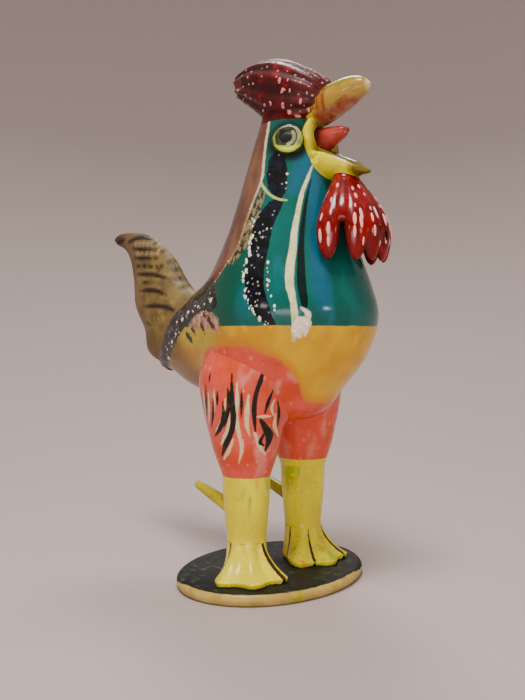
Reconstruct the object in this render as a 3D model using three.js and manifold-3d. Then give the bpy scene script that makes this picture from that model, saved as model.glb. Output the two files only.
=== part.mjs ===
// Ceramic rooster figurine, built the way the potter builds it: a thrown, hollow belly and
// breast lapped together at the girth, with modelled legs, tail, comb, beak and wattles
// luted on, all standing on an oval plinth. Millimetres.
// The bird faces +X, its right side is -Y and +Z is up.
// The origin is the centre of the plinth's underside.
import * as THREE from 'three';
import { mergeVertices } from 'three/addons/utils/BufferGeometryUtils.js';
import Module from 'manifold-3d';

const wasm = await Module();
wasm.setup();

// Clay, joints and vents
const wall = 6;
const seam = 0.3;
const ventRadius = 4.5;

// Oval plinth
const plinthLength = 139;
const plinthWidth = 108.6;
const plinthThickness = 7.5;
const plinthEdgeRound = 3.7;

// Legs
const legForward = 3.3;
const legSpacing = 58;
const ankleRadius = 12.4;
const ankleHeight = 33;
const shankTopRadius = 15.2;
const kneeHeight = 71;
const haunchRadius = 26;
const haunchHeight = 125;
const haunchTopHeight = 155;
const haunchSetBack = 2.5;
const haunchLengthening = 5;

// Feet: three toes joined by a web
const toeLength = 31;
const heelRadius = 14;
const toeSpreadAngle = 46;
const toeThickness = 6.5;
const webDip = 4;
const toeEdgeRound = 1.5;
const rightFootYaw = -38;
const leftFootYaw = -10;

// Spurs
const spurLength = 37;
const spurRootRadius = 5;
const spurTipRadius = 2.5;
const spurRise = 13.5;
const spurHeight = 47;

// Body, a bottle form round an upright axis, with the rump drawn out to the rear
const bodyForward = 16.4;
const undersideHeight = 103;
const lowerBellyRadius = 32;
const lowerBellyHeight = 123;
const midBellyRadius = 48.5;
const midBellyHeight = 145;
const girthRadius = 56.3;
const girthHeight = 171;
const breastRadius = 45.6;
const breastHeight = 210;
const neckRadius = 33.4;
const neckHeight = 250;
const napeRadius = 22.6;
const napeHeight = 287;
const crownRadius = 17.5;
const crownHeight = 303;
const headTopHeight = 315;
const seamHeight = 165;
const lapHeight = 5;

// Rump and the slanted face that the tail is luted to
const rumpLowReach = 84;
const rumpReach = 128;
const rumpLowHeight = 122;
const rumpFullHeight = 145;
const saddleHeight = 184;
const saddleReach = 89;
const saddleBlend = 42;
const rumpTaper = 3;
const rumpNarrowing = 0.3;
const tailSeatBack = 80;
const tailSeatHeight = 161;
const tailSeatSlope = 40.6;
const tailSeatSpan = 104;

// Tail, a flattened plume that sweeps up and back
const tailRise = 78;
const tailSweep = 82;
const tailRootHalfHeight = 35;
const tailRootRise = 3;
const tailRootHalfWidth = 17;
const tailPlumeHalfWidth = 8;

// Comb
const combForward = 31.5;
const combLength = 75;
const combHeight = 42.5;
const combOverlap = 18;
const combHalfWidth = 20.5;
const combFluteDepth = 1.3;
const combFlutes = 12;

// Beak, open in a crow
const beakRootForward = 30;
const beakReach = 47;
const upperBeakTipHeight = 310.5;
const upperBeakRootHeight = 299;
const upperBeakHalfDepth = 11;
const lowerBeakTipHeight = 257.5;
const lowerBeakRootHeight = 270;
const lowerBeakHalfDepth = 11.5;
const beakHalfWidth = 12;
const scoopDepth = 4.5;
const gapeRadius = 3.6;
const gapeForward = 10;
const gapeBow = 2.5;
const gapeTuck = 1.5;
const tongueLength = 29;
const tongueLift = 3;
const tongueHalfWidth = 7;
const tongueHalfThickness = 5;
const tongueSeat = -1.5;

// Eyes
const eyeRadius = 10;
const eyeThickness = 3;
const eyeAngle = 56;
const eyeHeight = 279.5;

// Wattles: three fluted lobes a side, hung in a skirt below the beak, with a web of clay
// between the two outer lobes that reaches part of the way down
const wattleCentreForward = 58;
const wattleSkirtRadius = 22.3;
const wattleTopHeight = 259;
const wattleBottomHeight = 203.5;
const wattleLobeHalfWidth = 7.5;
const wattleLobeHalfDepth = 5;
const wattleLobeAngles = [13, 38, 79];
const wattleWebShare = 0.6;

// Glaze colours
const glaze = {
  baseDark: new THREE.MeshStandardMaterial({ color: 0x23261f, roughness: 0.3, metalness: 0 }),
  legYellow: new THREE.MeshStandardMaterial({ color: 0xd9cc2a, roughness: 0.25, metalness: 0 }),
  coral: new THREE.MeshStandardMaterial({ color: 0xdc6f5c, roughness: 0.25, metalness: 0 }),
  mustard: new THREE.MeshStandardMaterial({ color: 0xd0a022, roughness: 0.25, metalness: 0 }),
  teal: new THREE.MeshStandardMaterial({ color: 0x1d6a63, roughness: 0.2, metalness: 0 }),
  straw: new THREE.MeshStandardMaterial({ color: 0xa08c62, roughness: 0.3, metalness: 0 }),
  crimson: new THREE.MeshStandardMaterial({ color: 0x7c1519, roughness: 0.2, metalness: 0 }),
  beakYellow: new THREE.MeshStandardMaterial({ color: 0xcdb63a, roughness: 0.25, metalness: 0 }),
  mouthPink: new THREE.MeshStandardMaterial({ color: 0xb0504a, roughness: 0.3, metalness: 0 }),
  eyeOlive: new THREE.MeshStandardMaterial({ color: 0xaaa83c, roughness: 0.2, metalness: 0 }),
};

const radians = THREE.MathUtils.degToRad;

// A value that runs smoothly through [station, value] knots given in rising order.
function smoothThrough(knots) {
  const rise = (low, high) => (high[1] - low[1]) / (high[0] - low[0]);
  const slopes = knots.map((knot, i) => {
    const before = knots[Math.max(i - 1, 0)];
    const after = knots[Math.min(i + 1, knots.length - 1)];
    return rise(before, after);
  });
  return (station) => {
    let i = 0;
    while (i < knots.length - 2 && station > knots[i + 1][0]) i += 1;
    const [start, from] = knots[i];
    const [end, to] = knots[i + 1];
    const span = end - start;
    const t = Math.min(Math.max((station - start) / span, 0), 1);
    const bend = t * (1 - t) * span;
    const blend = t * t * (3 - 2 * t);
    return from + (to - from) * blend + bend * ((1 - t) * slopes[i] - t * slopes[i + 1]);
  };
}

// A closed skin over a stack of rings, each a list of as many points, with flat ends.
function skinOver(rings) {
  const count = rings[0].length;
  const points = rings.flat();
  const index = [];
  rings.slice(1).forEach((ring, level) => {
    const low = level * count;
    const high = low + count;
    for (let i = 0; i < count; i += 1) {
      const j = (i + 1) % count;
      index.push(low + i, low + j, high + j, low + i, high + j, high + i);
    }
  });
  const cap = (first, flipped) => {
    const middle = new THREE.Vector3();
    for (let i = 0; i < count; i += 1) middle.addScaledVector(points[first + i], 1 / count);
    const centre = points.push(middle) - 1;
    for (let i = 0; i < count; i += 1) {
      const j = (i + 1) % count;
      if (flipped) index.push(centre, first + j, first + i);
      else index.push(centre, first + i, first + j);
    }
  };
  cap(0, true);
  cap((rings.length - 1) * count, false);
  const geometry = new THREE.BufferGeometry().setFromPoints(points);
  geometry.setIndex(index);
  return geometry;
}

// The solid that a closed geometry bounds, turned right side out if need be.
function solid(geometry) {
  const bare = geometry.clone();
  bare.deleteAttribute('normal');
  bare.deleteAttribute('uv');
  const merged = mergeVertices(bare, 1e-4);
  const vertProperties = new Float32Array(merged.attributes.position.array);
  const triVerts = new Uint32Array(merged.index.array);
  const made = new wasm.Manifold(new wasm.Mesh({ numProp: 3, vertProperties, triVerts }));
  if (made.volume() > 0) return made;
  for (let i = 0; i < triVerts.length; i += 3) {
    [triVerts[i], triVerts[i + 1]] = [triVerts[i + 1], triVerts[i]];
  }
  return new wasm.Manifold(new wasm.Mesh({ numProp: 3, vertProperties, triVerts }));
}

function namedMesh(name, body, material) {
  const { vertProperties, triVerts } = body.getMesh();
  const geometry = new THREE.BufferGeometry();
  geometry.setAttribute('position', new THREE.BufferAttribute(new Float32Array(vertProperties), 3));
  geometry.setIndex(new THREE.BufferAttribute(new Uint32Array(triVerts), 1));
  geometry.computeVertexNormals();
  const mesh = new THREE.Mesh(geometry, material);
  mesh.name = name;
  return mesh;
}

// An upright round bar, for bores and vents.
function upright(radius, low, high, x, y, sides = 20) {
  const bar = new THREE.CylinderGeometry(radius, radius, high - low, sides);
  bar.rotateX(Math.PI / 2);
  bar.translate(x, y, (low + high) / 2);
  return solid(bar);
}

// Wider than the whole figurine, for the blocks that cut it.
const far = 400;

// Everything between two levels.
function blockBetween(low, high) {
  const block = new THREE.BoxGeometry(2 * far, 2 * far, high - low);
  block.translate(0, 0, (low + high) / 2);
  return solid(block);
}

// Everything across the middle plane from one side, less half a seam.
function acrossFrom(side) {
  const block = new THREE.BoxGeometry(2 * far, far, 2 * far);
  block.translate(0, -side * (far / 2 - seam / 2), 0);
  return solid(block);
}

// Body skin. Each level is a circle whose rear half is drawn out to the rump.
const bodyRadius = smoothThrough([
  [undersideHeight, 0.5],
  [undersideHeight + 0.3 * (lowerBellyHeight - undersideHeight), lowerBellyRadius * 0.62],
  [lowerBellyHeight, lowerBellyRadius],
  [midBellyHeight, midBellyRadius],
  [girthHeight, girthRadius],
  [(girthHeight + breastHeight) / 2, breastRadius + 0.63 * (girthRadius - breastRadius)],
  [breastHeight, breastRadius],
  [neckHeight, neckRadius],
  [napeHeight, napeRadius],
  [crownHeight, crownRadius],
  [(crownHeight + headTopHeight) / 2, crownRadius * 0.78],
  [headTopHeight, 0.5],
]);
const rumpLength = smoothThrough([
  [undersideHeight, 0.5],
  [(undersideHeight + rumpLowHeight) / 2, rumpLowReach * 0.45],
  [rumpLowHeight, rumpLowReach],
  [(rumpLowHeight + rumpFullHeight) / 2, rumpLowReach + 0.56 * (rumpReach - rumpLowReach)],
  [rumpFullHeight, rumpReach],
  [(rumpFullHeight + saddleHeight) / 2, rumpReach],
  [saddleHeight, saddleReach],
  [saddleHeight + 0.3 * saddleBlend, bodyRadius(saddleHeight + 0.3 * saddleBlend) + 0.33 * saddleBlend],
  [saddleHeight + 0.62 * saddleBlend, bodyRadius(saddleHeight + 0.62 * saddleBlend) + 0.17 * saddleBlend],
  [saddleHeight + saddleBlend, bodyRadius(saddleHeight + saddleBlend)],
]);
const rumpTopHeight = saddleHeight + saddleBlend;

// How far the rump reaches back from the upright axis, with the same grow above and below it.
function rumpReachAt(height, grow) {
  const span = Math.abs(grow);
  const around = [height - span, height, height + span].map((level) => (
    level < rumpTopHeight ? rumpLength(level) : 0
  ));
  return grow < 0 ? Math.min(...around) : Math.max(...around);
}

function bodyRing(height, grow, sides) {
  const step = 0.5;
  const lean = (bodyRadius(height + step) - bodyRadius(height - step)) / (2 * step);
  const swell = grow * Math.min(Math.hypot(1, lean), 2.2);
  const radius = Math.max(bodyRadius(height) + swell, 0.4);
  const reach = rumpReachAt(height, grow) + swell;
  const drawn = Math.max(reach - radius, 0);
  const ring = [];
  for (let i = 0; i < sides; i += 1) {
    const turn = (2 * Math.PI * i) / sides;
    const back = Math.max(-Math.cos(turn), 0);
    const narrowing = 1 - rumpNarrowing * back * back * (drawn / (drawn + radius));
    ring.push(new THREE.Vector3(
      bodyForward + radius * Math.cos(turn) - drawn * back ** rumpTaper,
      radius * Math.sin(turn) * narrowing,
      height,
    ));
  }
  return ring;
}

function bodySkin(grow, low, high, levels, sides) {
  const rings = [];
  for (let i = 0; i <= levels; i += 1) {
    const share = (1 - Math.cos((Math.PI * i) / levels)) / 2;
    rings.push(bodyRing(low + (high - low) * (0.35 * (i / levels) + 0.65 * share), grow, sides));
  }
  return skinOver(rings);
}

const bodyForm = solid(bodySkin(0, undersideHeight, headTopHeight, 22, 36));
const bodyClear = solid(bodySkin(seam, undersideHeight - seam, headTopHeight + seam, 22, 36));
const bodyHollow = solid(bodySkin(-wall, undersideHeight + 2 * wall, headTopHeight - wall, 13, 26));

// The slanted plane that the tail is luted to: what lies beyond it, moved out by a distance.
function beyondTailSeat(distance) {
  const block = new THREE.BoxGeometry(far, far, tailSeatSpan);
  block.translate(far / 2 + distance, 0, 0);
  block.rotateY(Math.PI + radians(tailSeatSlope));
  block.translate(-tailSeatBack, 0, tailSeatHeight);
  return solid(block);
}

// Loft in the bird's middle plane. A station gives the upper and the lower edge as [x, z] and
// the half width; the section is a rounded oval, or boxier with a lower roundness.
function middleLoft({ stations, rings, sides, grow = 0, roundness = 1, flutes = 0, fluteDepth = 0 }) {
  const upper = new THREE.CatmullRomCurve3(stations.map(([top]) => new THREE.Vector3(top[0], 0, top[1])));
  const lower = new THREE.CatmullRomCurve3(stations.map(([, low]) => new THREE.Vector3(low[0], 0, low[1])));
  const width = new THREE.CatmullRomCurve3(stations.map((station, i) => new THREE.Vector3(i, station[2], 0)));
  const made = [];
  for (let k = 0; k <= rings; k += 1) {
    const along = k / rings;
    const top = upper.getPoint(along);
    const low = lower.getPoint(along);
    const half = width.getPoint(along).y + grow;
    const middle = top.clone().add(low).multiplyScalar(0.5);
    const reach = top.clone().sub(middle);
    const depth = reach.length() + grow;
    reach.normalize();
    const ring = [];
    for (let i = 0; i < sides; i += 1) {
      const turn = (2 * Math.PI * i) / sides;
      const fluted = 1 - (fluteDepth / depth) * (flutes ? Math.cos(flutes * turn) ** 2 : 0);
      const c = Math.sign(Math.cos(turn)) * Math.abs(Math.cos(turn)) ** roundness;
      const s = Math.sign(Math.sin(turn)) * Math.abs(Math.sin(turn)) ** roundness;
      ring.push(middle.clone().addScaledVector(reach, depth * c * fluted)
        .add(new THREE.Vector3(0, half * s * fluted, 0)));
    }
    made.push(ring);
  }
  if (grow > 0) {
    const push = (from, to) => {
      const out = new THREE.Vector3();
      made[from].forEach((point, i) => out.add(point).sub(made[to][i]));
      return made[from].map((point) => point.clone().addScaledVector(out.clone().normalize(), grow));
    };
    made.unshift(push(0, 1));
    made.push(push(made.length - 1, made.length - 2));
  }
  return solid(skinOver(made));
}

// Plinth: an oval slab with a rounded rim and a flat underside, pierced by a vent under each leg
function ovalRing(height, inset, sides) {
  const ring = [];
  for (let i = 0; i < sides; i += 1) {
    const turn = (2 * Math.PI * i) / sides;
    ring.push(new THREE.Vector3(
      (plinthWidth / 2 - inset) * Math.cos(turn),
      (plinthLength / 2 - inset) * Math.sin(turn),
      height,
    ));
  }
  return ring;
}

function plinth() {
  const rings = [];
  const arcSteps = 4;
  const sides = 48;
  for (let k = 0; k <= arcSteps; k += 1) {
    const turn = (Math.PI / 2) * (k / arcSteps);
    const height = plinthEdgeRound * (1 - Math.cos(turn));
    rings.push(ovalRing(height, plinthEdgeRound * (1 - Math.sin(turn)), sides));
  }
  for (let k = 0; k <= arcSteps; k += 1) {
    const turn = (Math.PI / 2) * (k / arcSteps);
    const height = plinthThickness - plinthEdgeRound * (1 - Math.sin(turn));
    rings.push(ovalRing(height, plinthEdgeRound * (1 - Math.cos(turn)), sides));
  }
  let body = solid(skinOver(rings));
  [-1, 1].forEach((side) => {
    body = body.subtract(upright(ventRadius, -1, plinthThickness + 1, legForward, (side * legSpacing) / 2));
  });
  return body;
}

// Foot: a fan of three toes with a web between them, drawn up to the ankle
function foot(side, yaw) {
  const low = plinthThickness + seam;
  const sides = 40;
  const levels = [0, 0.1, 0.22, 0.38, 0.56, 0.78, 1];
  const rings = levels.map((level) => {
    const ring = [];
    for (let i = 0; i < sides; i += 1) {
      const turn = (2 * Math.PI * i) / sides;
      const off = THREE.MathUtils.radToDeg(Math.atan2(Math.sin(turn), Math.cos(turn)));
      const fan = Math.exp(-((Math.abs(off) / (1.62 * toeSpreadAngle)) ** 6));
      const web = webDip * (0.5 - 0.5 * Math.cos((2 * Math.PI * off) / toeSpreadAngle));
      const outline = heelRadius + (toeLength - heelRadius - web) * fan;
      const edge = level < 0.1 ? 0 : (level - 0.1) / 0.9;
      const drawnUp = (1 - edge) ** 2.3;
      const radius = ankleRadius + (outline - ankleRadius) * drawnUp;
      const rim = level === 0 ? toeEdgeRound : 0;
      const height = low + (level <= 0.1 ? level * 10 * toeThickness * 0.45 : 0)
        + (level > 0.1 ? toeThickness * 0.45 + edge * (ankleHeight - low - toeThickness * 0.45) : 0);
      ring.push(new THREE.Vector3((radius - rim) * Math.cos(turn), (radius - rim) * Math.sin(turn), height));
    }
    return ring;
  });
  const geometry = skinOver(rings);
  geometry.rotateZ(radians(yaw));
  geometry.translate(legForward, (side * legSpacing) / 2, 0);
  const bore = upright(ventRadius, low - 1, ankleHeight + 1, legForward, (side * legSpacing) / 2);
  return solid(geometry).subtract(bore);
}

// Round ring of a limb
function limbRing(x, y, height, radius, sides = 28, lengthening = 0) {
  const ring = [];
  for (let i = 0; i < sides; i += 1) {
    const turn = (2 * Math.PI * i) / sides;
    ring.push(new THREE.Vector3(
      x + (radius + lengthening) * Math.cos(turn),
      y + radius * Math.sin(turn),
      height,
    ));
  }
  return ring;
}

const shankRadius = smoothThrough([
  [ankleHeight, ankleRadius],
  [(ankleHeight + kneeHeight) / 2, (ankleRadius + shankTopRadius) / 2 + 0.4],
  [kneeHeight, shankTopRadius],
]);

function shankForm(side, grow) {
  const low = ankleHeight + seam - (grow ? 2 * seam : 0);
  const high = kneeHeight + (grow ? 2 * seam : 0);
  const rings = [0, 0.25, 0.5, 0.75, 1].map((share) => {
    const height = low + (high - low) * share;
    return limbRing(legForward, (side * legSpacing) / 2, height, shankRadius(height) + grow);
  });
  return solid(skinOver(rings));
}

function shank(side) {
  const bore = upright(ventRadius, ankleHeight - 1, kneeHeight + 1, legForward, (side * legSpacing) / 2);
  return shankForm(side, 0).subtract(bore);
}

// Thigh: a drumstick that swells up and back into a haunch against the belly
function thigh(side) {
  const share = (height) => (height - kneeHeight) / (haunchHeight - kneeHeight);
  const radius = smoothThrough([
    [kneeHeight, shankTopRadius],
    [kneeHeight + 0.35 * (haunchHeight - kneeHeight), shankTopRadius + 0.5 * (haunchRadius - shankTopRadius)],
    [haunchHeight, haunchRadius],
    [(haunchHeight + haunchTopHeight) / 2, haunchRadius * 0.94],
    [haunchTopHeight, haunchRadius * 0.45],
  ]);
  const rings = [];
  const levels = 11;
  for (let k = 0; k <= levels; k += 1) {
    const height = kneeHeight + seam + (haunchTopHeight - kneeHeight - seam) * (k / levels);
    const grown = Math.min(share(height), 1);
    rings.push(limbRing(
      legForward - haunchSetBack * grown,
      (side * (legSpacing - 2 * share(height))) / 2,
      height,
      radius(height),
      26,
      haunchLengthening * grown,
    ));
  }
  const bore = upright(ventRadius, kneeHeight - 1, haunchTopHeight, legForward, (side * legSpacing) / 2);
  return solid(skinOver(rings)).subtract(bodyClear).subtract(bore).subtract(acrossFrom(side));
}

// Spur: a blunt cone on the back of the shank, pointing back and up
function spur(side) {
  const climb = Math.atan2(spurRise, spurLength);
  const length = Math.hypot(spurRise, spurLength);
  const rounding = spurTipRadius * 0.6;
  const profile = [
    new THREE.Vector2(0, 0),
    new THREE.Vector2(spurRootRadius, 0),
    new THREE.Vector2((spurRootRadius + spurTipRadius) / 2, length * 0.6),
    new THREE.Vector2(spurTipRadius, length - rounding),
    new THREE.Vector2(spurTipRadius * 0.6, length),
    new THREE.Vector2(0, length + rounding * 0.3),
  ];
  const cone = new THREE.LatheGeometry(profile, 14);
  cone.rotateZ(Math.PI / 2);
  cone.rotateY(climb);
  cone.translate(legForward - shankRadius(spurHeight) * 0.6, (side * legSpacing) / 2, spurHeight);
  return solid(cone).subtract(shankForm(side, seam));
}

// Belly shell and breast shell, lapped together at the girth
const lapStep = wall / 2;
const cavity = bodyHollow.subtract(beyondTailSeat(-wall));
const shellForm = bodyForm.subtract(cavity).subtract(beyondTailSeat(0));

function bellyShell() {
  const lower = shellForm.intersect(blockBetween(undersideHeight - 1, seamHeight));
  const inset = lapStep + seam / 2;
  const lipOutside = solid(bodySkin(-inset, seamHeight - 2, seamHeight + lapHeight, 3, 36))
    .subtract(beyondTailSeat(-inset));
  const lapBand = blockBetween(seamHeight - 1, seamHeight + lapHeight);
  const lip = lipOutside.subtract(cavity).intersect(lapBand);
  let body = lower.add(lip);
  [-1, 1].forEach((side) => {
    const leg = (side * legSpacing) / 2;
    body = body.subtract(upright(ventRadius, undersideHeight - 2, midBellyHeight, legForward, leg));
  });
  return body;
}

function breastShell() {
  const upper = shellForm.intersect(blockBetween(seamHeight + seam, headTopHeight + 1));
  const inset = lapStep - seam / 2;
  const rebate = solid(bodySkin(-inset, seamHeight - 1, seamHeight + lapHeight + seam, 3, 36))
    .subtract(beyondTailSeat(-inset));
  return upper.subtract(rebate);
}

// Tail plume, luted to the slanted face of the rump. Its edges are given as shares of the sweep
// and the rise, from the middle of the seat.
function tail() {
  const slope = radians(tailSeatSlope);
  const at = (back, up) => [-tailSeatBack - back * tailSweep, tailSeatHeight + up * tailRise];
  const seatEdge = (half, inside) => [
    -tailSeatBack + Math.sin(slope) * half + Math.cos(slope) * inside,
    tailSeatHeight + Math.cos(slope) * half - Math.sin(slope) * inside,
  ];
  const inside = wall * 2;
  const rootTop = tailRootRise + tailRootHalfHeight;
  const rootBottom = tailRootRise - tailRootHalfHeight;
  const root = tailRootHalfWidth;
  const plume = tailPlumeHalfWidth;
  const stations = [
    [seatEdge(rootTop, inside), seatEdge(rootBottom, inside), root],
    [seatEdge(rootTop, 0), seatEdge(rootBottom, 0), root],
    [at(-0.1, 0.375), at(0.45, -0.2), root * 0.96],
    [at(0.03, 0.49), at(0.5, -0.01), root * 0.84],
    [at(0.17, 0.695), at(0.66, 0.25), root * 0.64],
    [at(0.31, 0.83), at(0.7, 0.52), plume],
    [at(0.5, 0.955), at(0.765, 0.75), plume * 0.85],
    [at(0.74, 1), at(0.855, 0.845), plume * 0.62],
    [at(0.93, 0.995), at(0.95, 0.89), plume * 0.42],
    [at(1, 0.965), at(0.995, 0.925), plume * 0.2],
  ];
  return middleLoft({ stations, rings: 19, sides: 20 }).intersect(beyondTailSeat(seam));
}

// Comb: a thick fluted crest that caps the head and sweeps back to a blunt end
function combForm(grow) {
  const front = bodyForward + combForward;
  const bottom = headTopHeight - combOverlap;
  const at = (back, up) => [front - back * combLength, bottom + up * combHeight];
  const stations = [
    [at(0, 0.34), at(0.02, 0.04), combHalfWidth * 0.42],
    [at(0.04, 0.52), at(0.13, -0.06), combHalfWidth * 0.72],
    [at(0.19, 0.73), at(0.28, -0.13), combHalfWidth * 0.95],
    [at(0.44, 0.95), at(0.47, -0.12), combHalfWidth],
    [at(0.69, 1.01), at(0.66, 0.1), combHalfWidth * 0.9],
    [at(0.87, 0.96), at(0.82, 0.32), combHalfWidth * 0.72],
    [at(0.975, 0.88), at(0.935, 0.46), combHalfWidth * 0.58],
    [at(1, 0.8), at(0.985, 0.52), combHalfWidth * 0.4],
  ];
  return middleLoft({
    stations,
    rings: 14,
    sides: 28,
    grow,
    roundness: 0.78,
    flutes: combFlutes / 2,
    fluteDepth: combFluteDepth,
  });
}

const combClear = combForm(seam);

// Eye: a turned disc with a raised ring and a domed pupil, set on the side of the head
function eyeForm(side, grow) {
  const step = eyeRadius / 2;
  const lean = Math.atan2(bodyRadius(eyeHeight - step) - bodyRadius(eyeHeight + step), eyeRadius);
  const bedding = [[0, -2], [0.96, -2], [1, 0.35]];
  const ring = [[0.92, 0.85], [0.78, 0.95], [0.64, 0.6]];
  const pupil = [[0.5, 0.9], [0.3, 1.15], [0, 1.25]];
  const profile = [...bedding, ...ring, ...pupil].map(([out, up]) => (
    new THREE.Vector2(out * (eyeRadius + grow), up * eyeThickness + grow)
  ));
  const made = new THREE.LatheGeometry(profile, 20);
  made.rotateX(Math.PI / 2);
  made.rotateY(Math.PI / 2 - lean);
  made.translate(bodyRadius(eyeHeight), 0, 0);
  made.rotateZ(side * radians(eyeAngle));
  made.translate(bodyForward, 0, eyeHeight);
  return solid(made);
}

function eye(side) {
  return eyeForm(side, 0).subtract(bodyClear).subtract(combClear);
}

// Beak
function upperBeakForm(grow) {
  const root = upperBeakRootHeight;
  const rise = upperBeakTipHeight - root;
  const half = upperBeakHalfDepth;
  const at = (share, up) => [beakRootForward + share * beakReach, root + share * rise + up * half];
  const stations = [
    [at(-0.12, 0.9), at(-0.12, -0.9), beakHalfWidth * 0.9],
    [at(0.1, 1.02), at(0.1, -1), beakHalfWidth],
    [at(0.4, 1.05), at(0.4, -0.95), beakHalfWidth * 0.92],
    [at(0.7, 0.92), at(0.7, -0.72), beakHalfWidth * 0.7],
    [at(0.91, 0.5), at(0.91, -0.42), beakHalfWidth * 0.4],
    [at(1, 0.08), at(1, -0.18), beakHalfWidth * 0.12],
  ];
  return middleLoft({ stations, rings: 11, sides: 18, grow });
}

function lowerBeakForm(grow) {
  const root = lowerBeakRootHeight;
  const drop = lowerBeakTipHeight - root;
  const half = lowerBeakHalfDepth;
  const at = (share, up) => [beakRootForward + share * beakReach, root + share * drop + up * half];
  const stations = [
    [at(-0.12, 0.95), at(-0.12, -0.8), beakHalfWidth],
    [at(0.12, 0.95), at(0.12, -0.95), beakHalfWidth * 1.08],
    [at(0.42, 0.95), at(0.42, -0.76), beakHalfWidth],
    [at(0.69, 0.66), at(0.7, -0.5), beakHalfWidth * 0.76],
    [at(0.88, 0.27), at(0.9, -0.22), beakHalfWidth * 0.44],
    [at(1, 0.08), at(1, -0.1), beakHalfWidth * 0.14],
  ];
  return middleLoft({ stations, rings: 11, sides: 18, grow });
}

// Heights of the middle lines of the upper and the lower beak, at a place along them
function upperBeakLine(forward) {
  const share = (forward - beakRootForward) / beakReach;
  return upperBeakRootHeight + share * (upperBeakTipHeight - upperBeakRootHeight);
}

function lowerBeakLine(forward) {
  const share = (forward - beakRootForward) / beakReach;
  return lowerBeakRootHeight + share * (lowerBeakTipHeight - lowerBeakRootHeight);
}

// Rims at the corners of the mouth, from the upper beak round to the lower
function gapeRims() {
  const forward = beakRootForward + gapeForward;
  const upperEnd = forward + gapeBow;
  const lowerEnd = forward + gapeBow * 1.2;
  const top = upperBeakLine(upperEnd) - 0.93 * upperBeakHalfDepth;
  const bottom = lowerBeakLine(lowerEnd) + 0.3 * lowerBeakHalfDepth;
  const rims = [-1, 1].map((side) => {
    const rim = new THREE.CatmullRomCurve3([
      new THREE.Vector3(upperEnd, side * (beakHalfWidth - gapeTuck), top),
      new THREE.Vector3(forward, side * (beakHalfWidth + gapeTuck * 0.7), bottom + 0.66 * (top - bottom)),
      new THREE.Vector3(lowerEnd, side * (beakHalfWidth - gapeTuck), bottom),
    ]);
    const round = new THREE.Shape().absarc(0, 0, gapeRadius, 0, 2 * Math.PI);
    return solid(new THREE.ExtrudeGeometry(round, { steps: 6, curveSegments: 4, extrudePath: rim }));
  });
  return rims[0].add(rims[1]).subtract(eyeForm(-1, seam)).subtract(eyeForm(1, seam));
}

const upperBeakClear = upperBeakForm(seam);
const lowerBeakClear = lowerBeakForm(seam);

function upperBeak() {
  return upperBeakForm(0).subtract(bodyClear).subtract(combClear);
}

function lowerBeak() {
  const scoop = new THREE.SphereGeometry(1, 24, 12);
  scoop.scale(beakReach * 0.46, beakHalfWidth * 0.78, scoopDepth);
  scoop.rotateY(Math.atan2(lowerBeakRootHeight - lowerBeakTipHeight + lowerBeakHalfDepth * 0.85, beakReach));
  scoop.translate(
    beakRootForward + beakReach * 0.52,
    0,
    (lowerBeakRootHeight + lowerBeakTipHeight) / 2 + lowerBeakHalfDepth * 0.85,
  );
  return lowerBeakForm(0).subtract(solid(scoop)).add(gapeRims()).subtract(bodyClear).subtract(upperBeakClear);
}

// Tongue, lifted in the open beak
function tongue() {
  const start = beakRootForward + 2;
  const at = (share, up) => {
    const forward = start + share * tongueLength;
    const middle = (upperBeakLine(forward) + lowerBeakLine(forward)) / 2;
    const height = middle + tongueSeat + tongueLift * share ** 2;
    return [forward, height + up * tongueHalfThickness];
  };
  const stations = [
    [at(-0.1, 1.7), at(-0.1, -2.6), tongueHalfWidth],
    [at(0.25, 1.3), at(0.25, -2.4), tongueHalfWidth],
    [at(0.6, 1), at(0.6, -1.5), tongueHalfWidth * 0.9],
    [at(0.88, 0.6), at(0.88, -0.8), tongueHalfWidth * 0.6],
    [at(1, 0.2), at(1, -0.3), tongueHalfWidth * 0.2],
  ];
  return middleLoft({ stations, rings: 8, sides: 14 })
    .subtract(bodyClear).subtract(lowerBeakClear).subtract(upperBeakClear)
    .subtract(gapeRims());
}

// Wattle: lobes that swell as they hang from the throat, each down to its share of the drop
function lobe(side, angle, dropShare) {
  const turn = side * radians(angle);
  const out = new THREE.Vector3(Math.cos(turn), Math.sin(turn), 0);
  const around = new THREE.Vector3(-Math.sin(turn), Math.cos(turn), 0);
  const drop = wattleTopHeight - wattleBottomHeight;
  const lobeSides = 11;
  const levels = [0, 0.16, 0.36, 0.6, 0.79, 0.92, 1];
  const rings = levels.map((level) => {
    const fall = level * dropShare;
    const reach = wattleSkirtRadius * (0.16 + 0.92 * Math.sin((Math.PI / 2) * Math.min(fall * 1.35, 1)));
    const grown = 0.5 + 0.5 * Math.min(fall * 1.6, 1);
    const end = Math.sqrt(Math.max(1 - Math.max((level - 0.6) / 0.4, 0) ** 2, 0.03));
    const middle = new THREE.Vector3(wattleCentreForward, 0, wattleTopHeight - drop * fall)
      .addScaledVector(out, reach);
    const ring = [];
    for (let i = 0; i < lobeSides; i += 1) {
      const phase = (2 * Math.PI * i) / lobeSides;
      ring.push(middle.clone()
        .addScaledVector(around, wattleLobeHalfWidth * grown * end * Math.cos(phase))
        .addScaledVector(out, wattleLobeHalfDepth * grown * end * Math.sin(phase)));
    }
    return ring;
  });
  return solid(skinOver(rings));
}

function wattle(side) {
  const lobes = wattleLobeAngles.map((angle) => lobe(side, angle, 1));
  const web = lobe(side, (wattleLobeAngles[1] + wattleLobeAngles[2]) / 2, wattleWebShare);
  return lobes[0].add(lobes[1]).add(lobes[2]).add(web)
    .subtract(bodyClear).subtract(lowerBeakClear).subtract(acrossFrom(side));
}

const rooster = new THREE.Group();
const sidesOf = [['right', -1, rightFootYaw], ['left', 1, leftFootYaw]];

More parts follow.
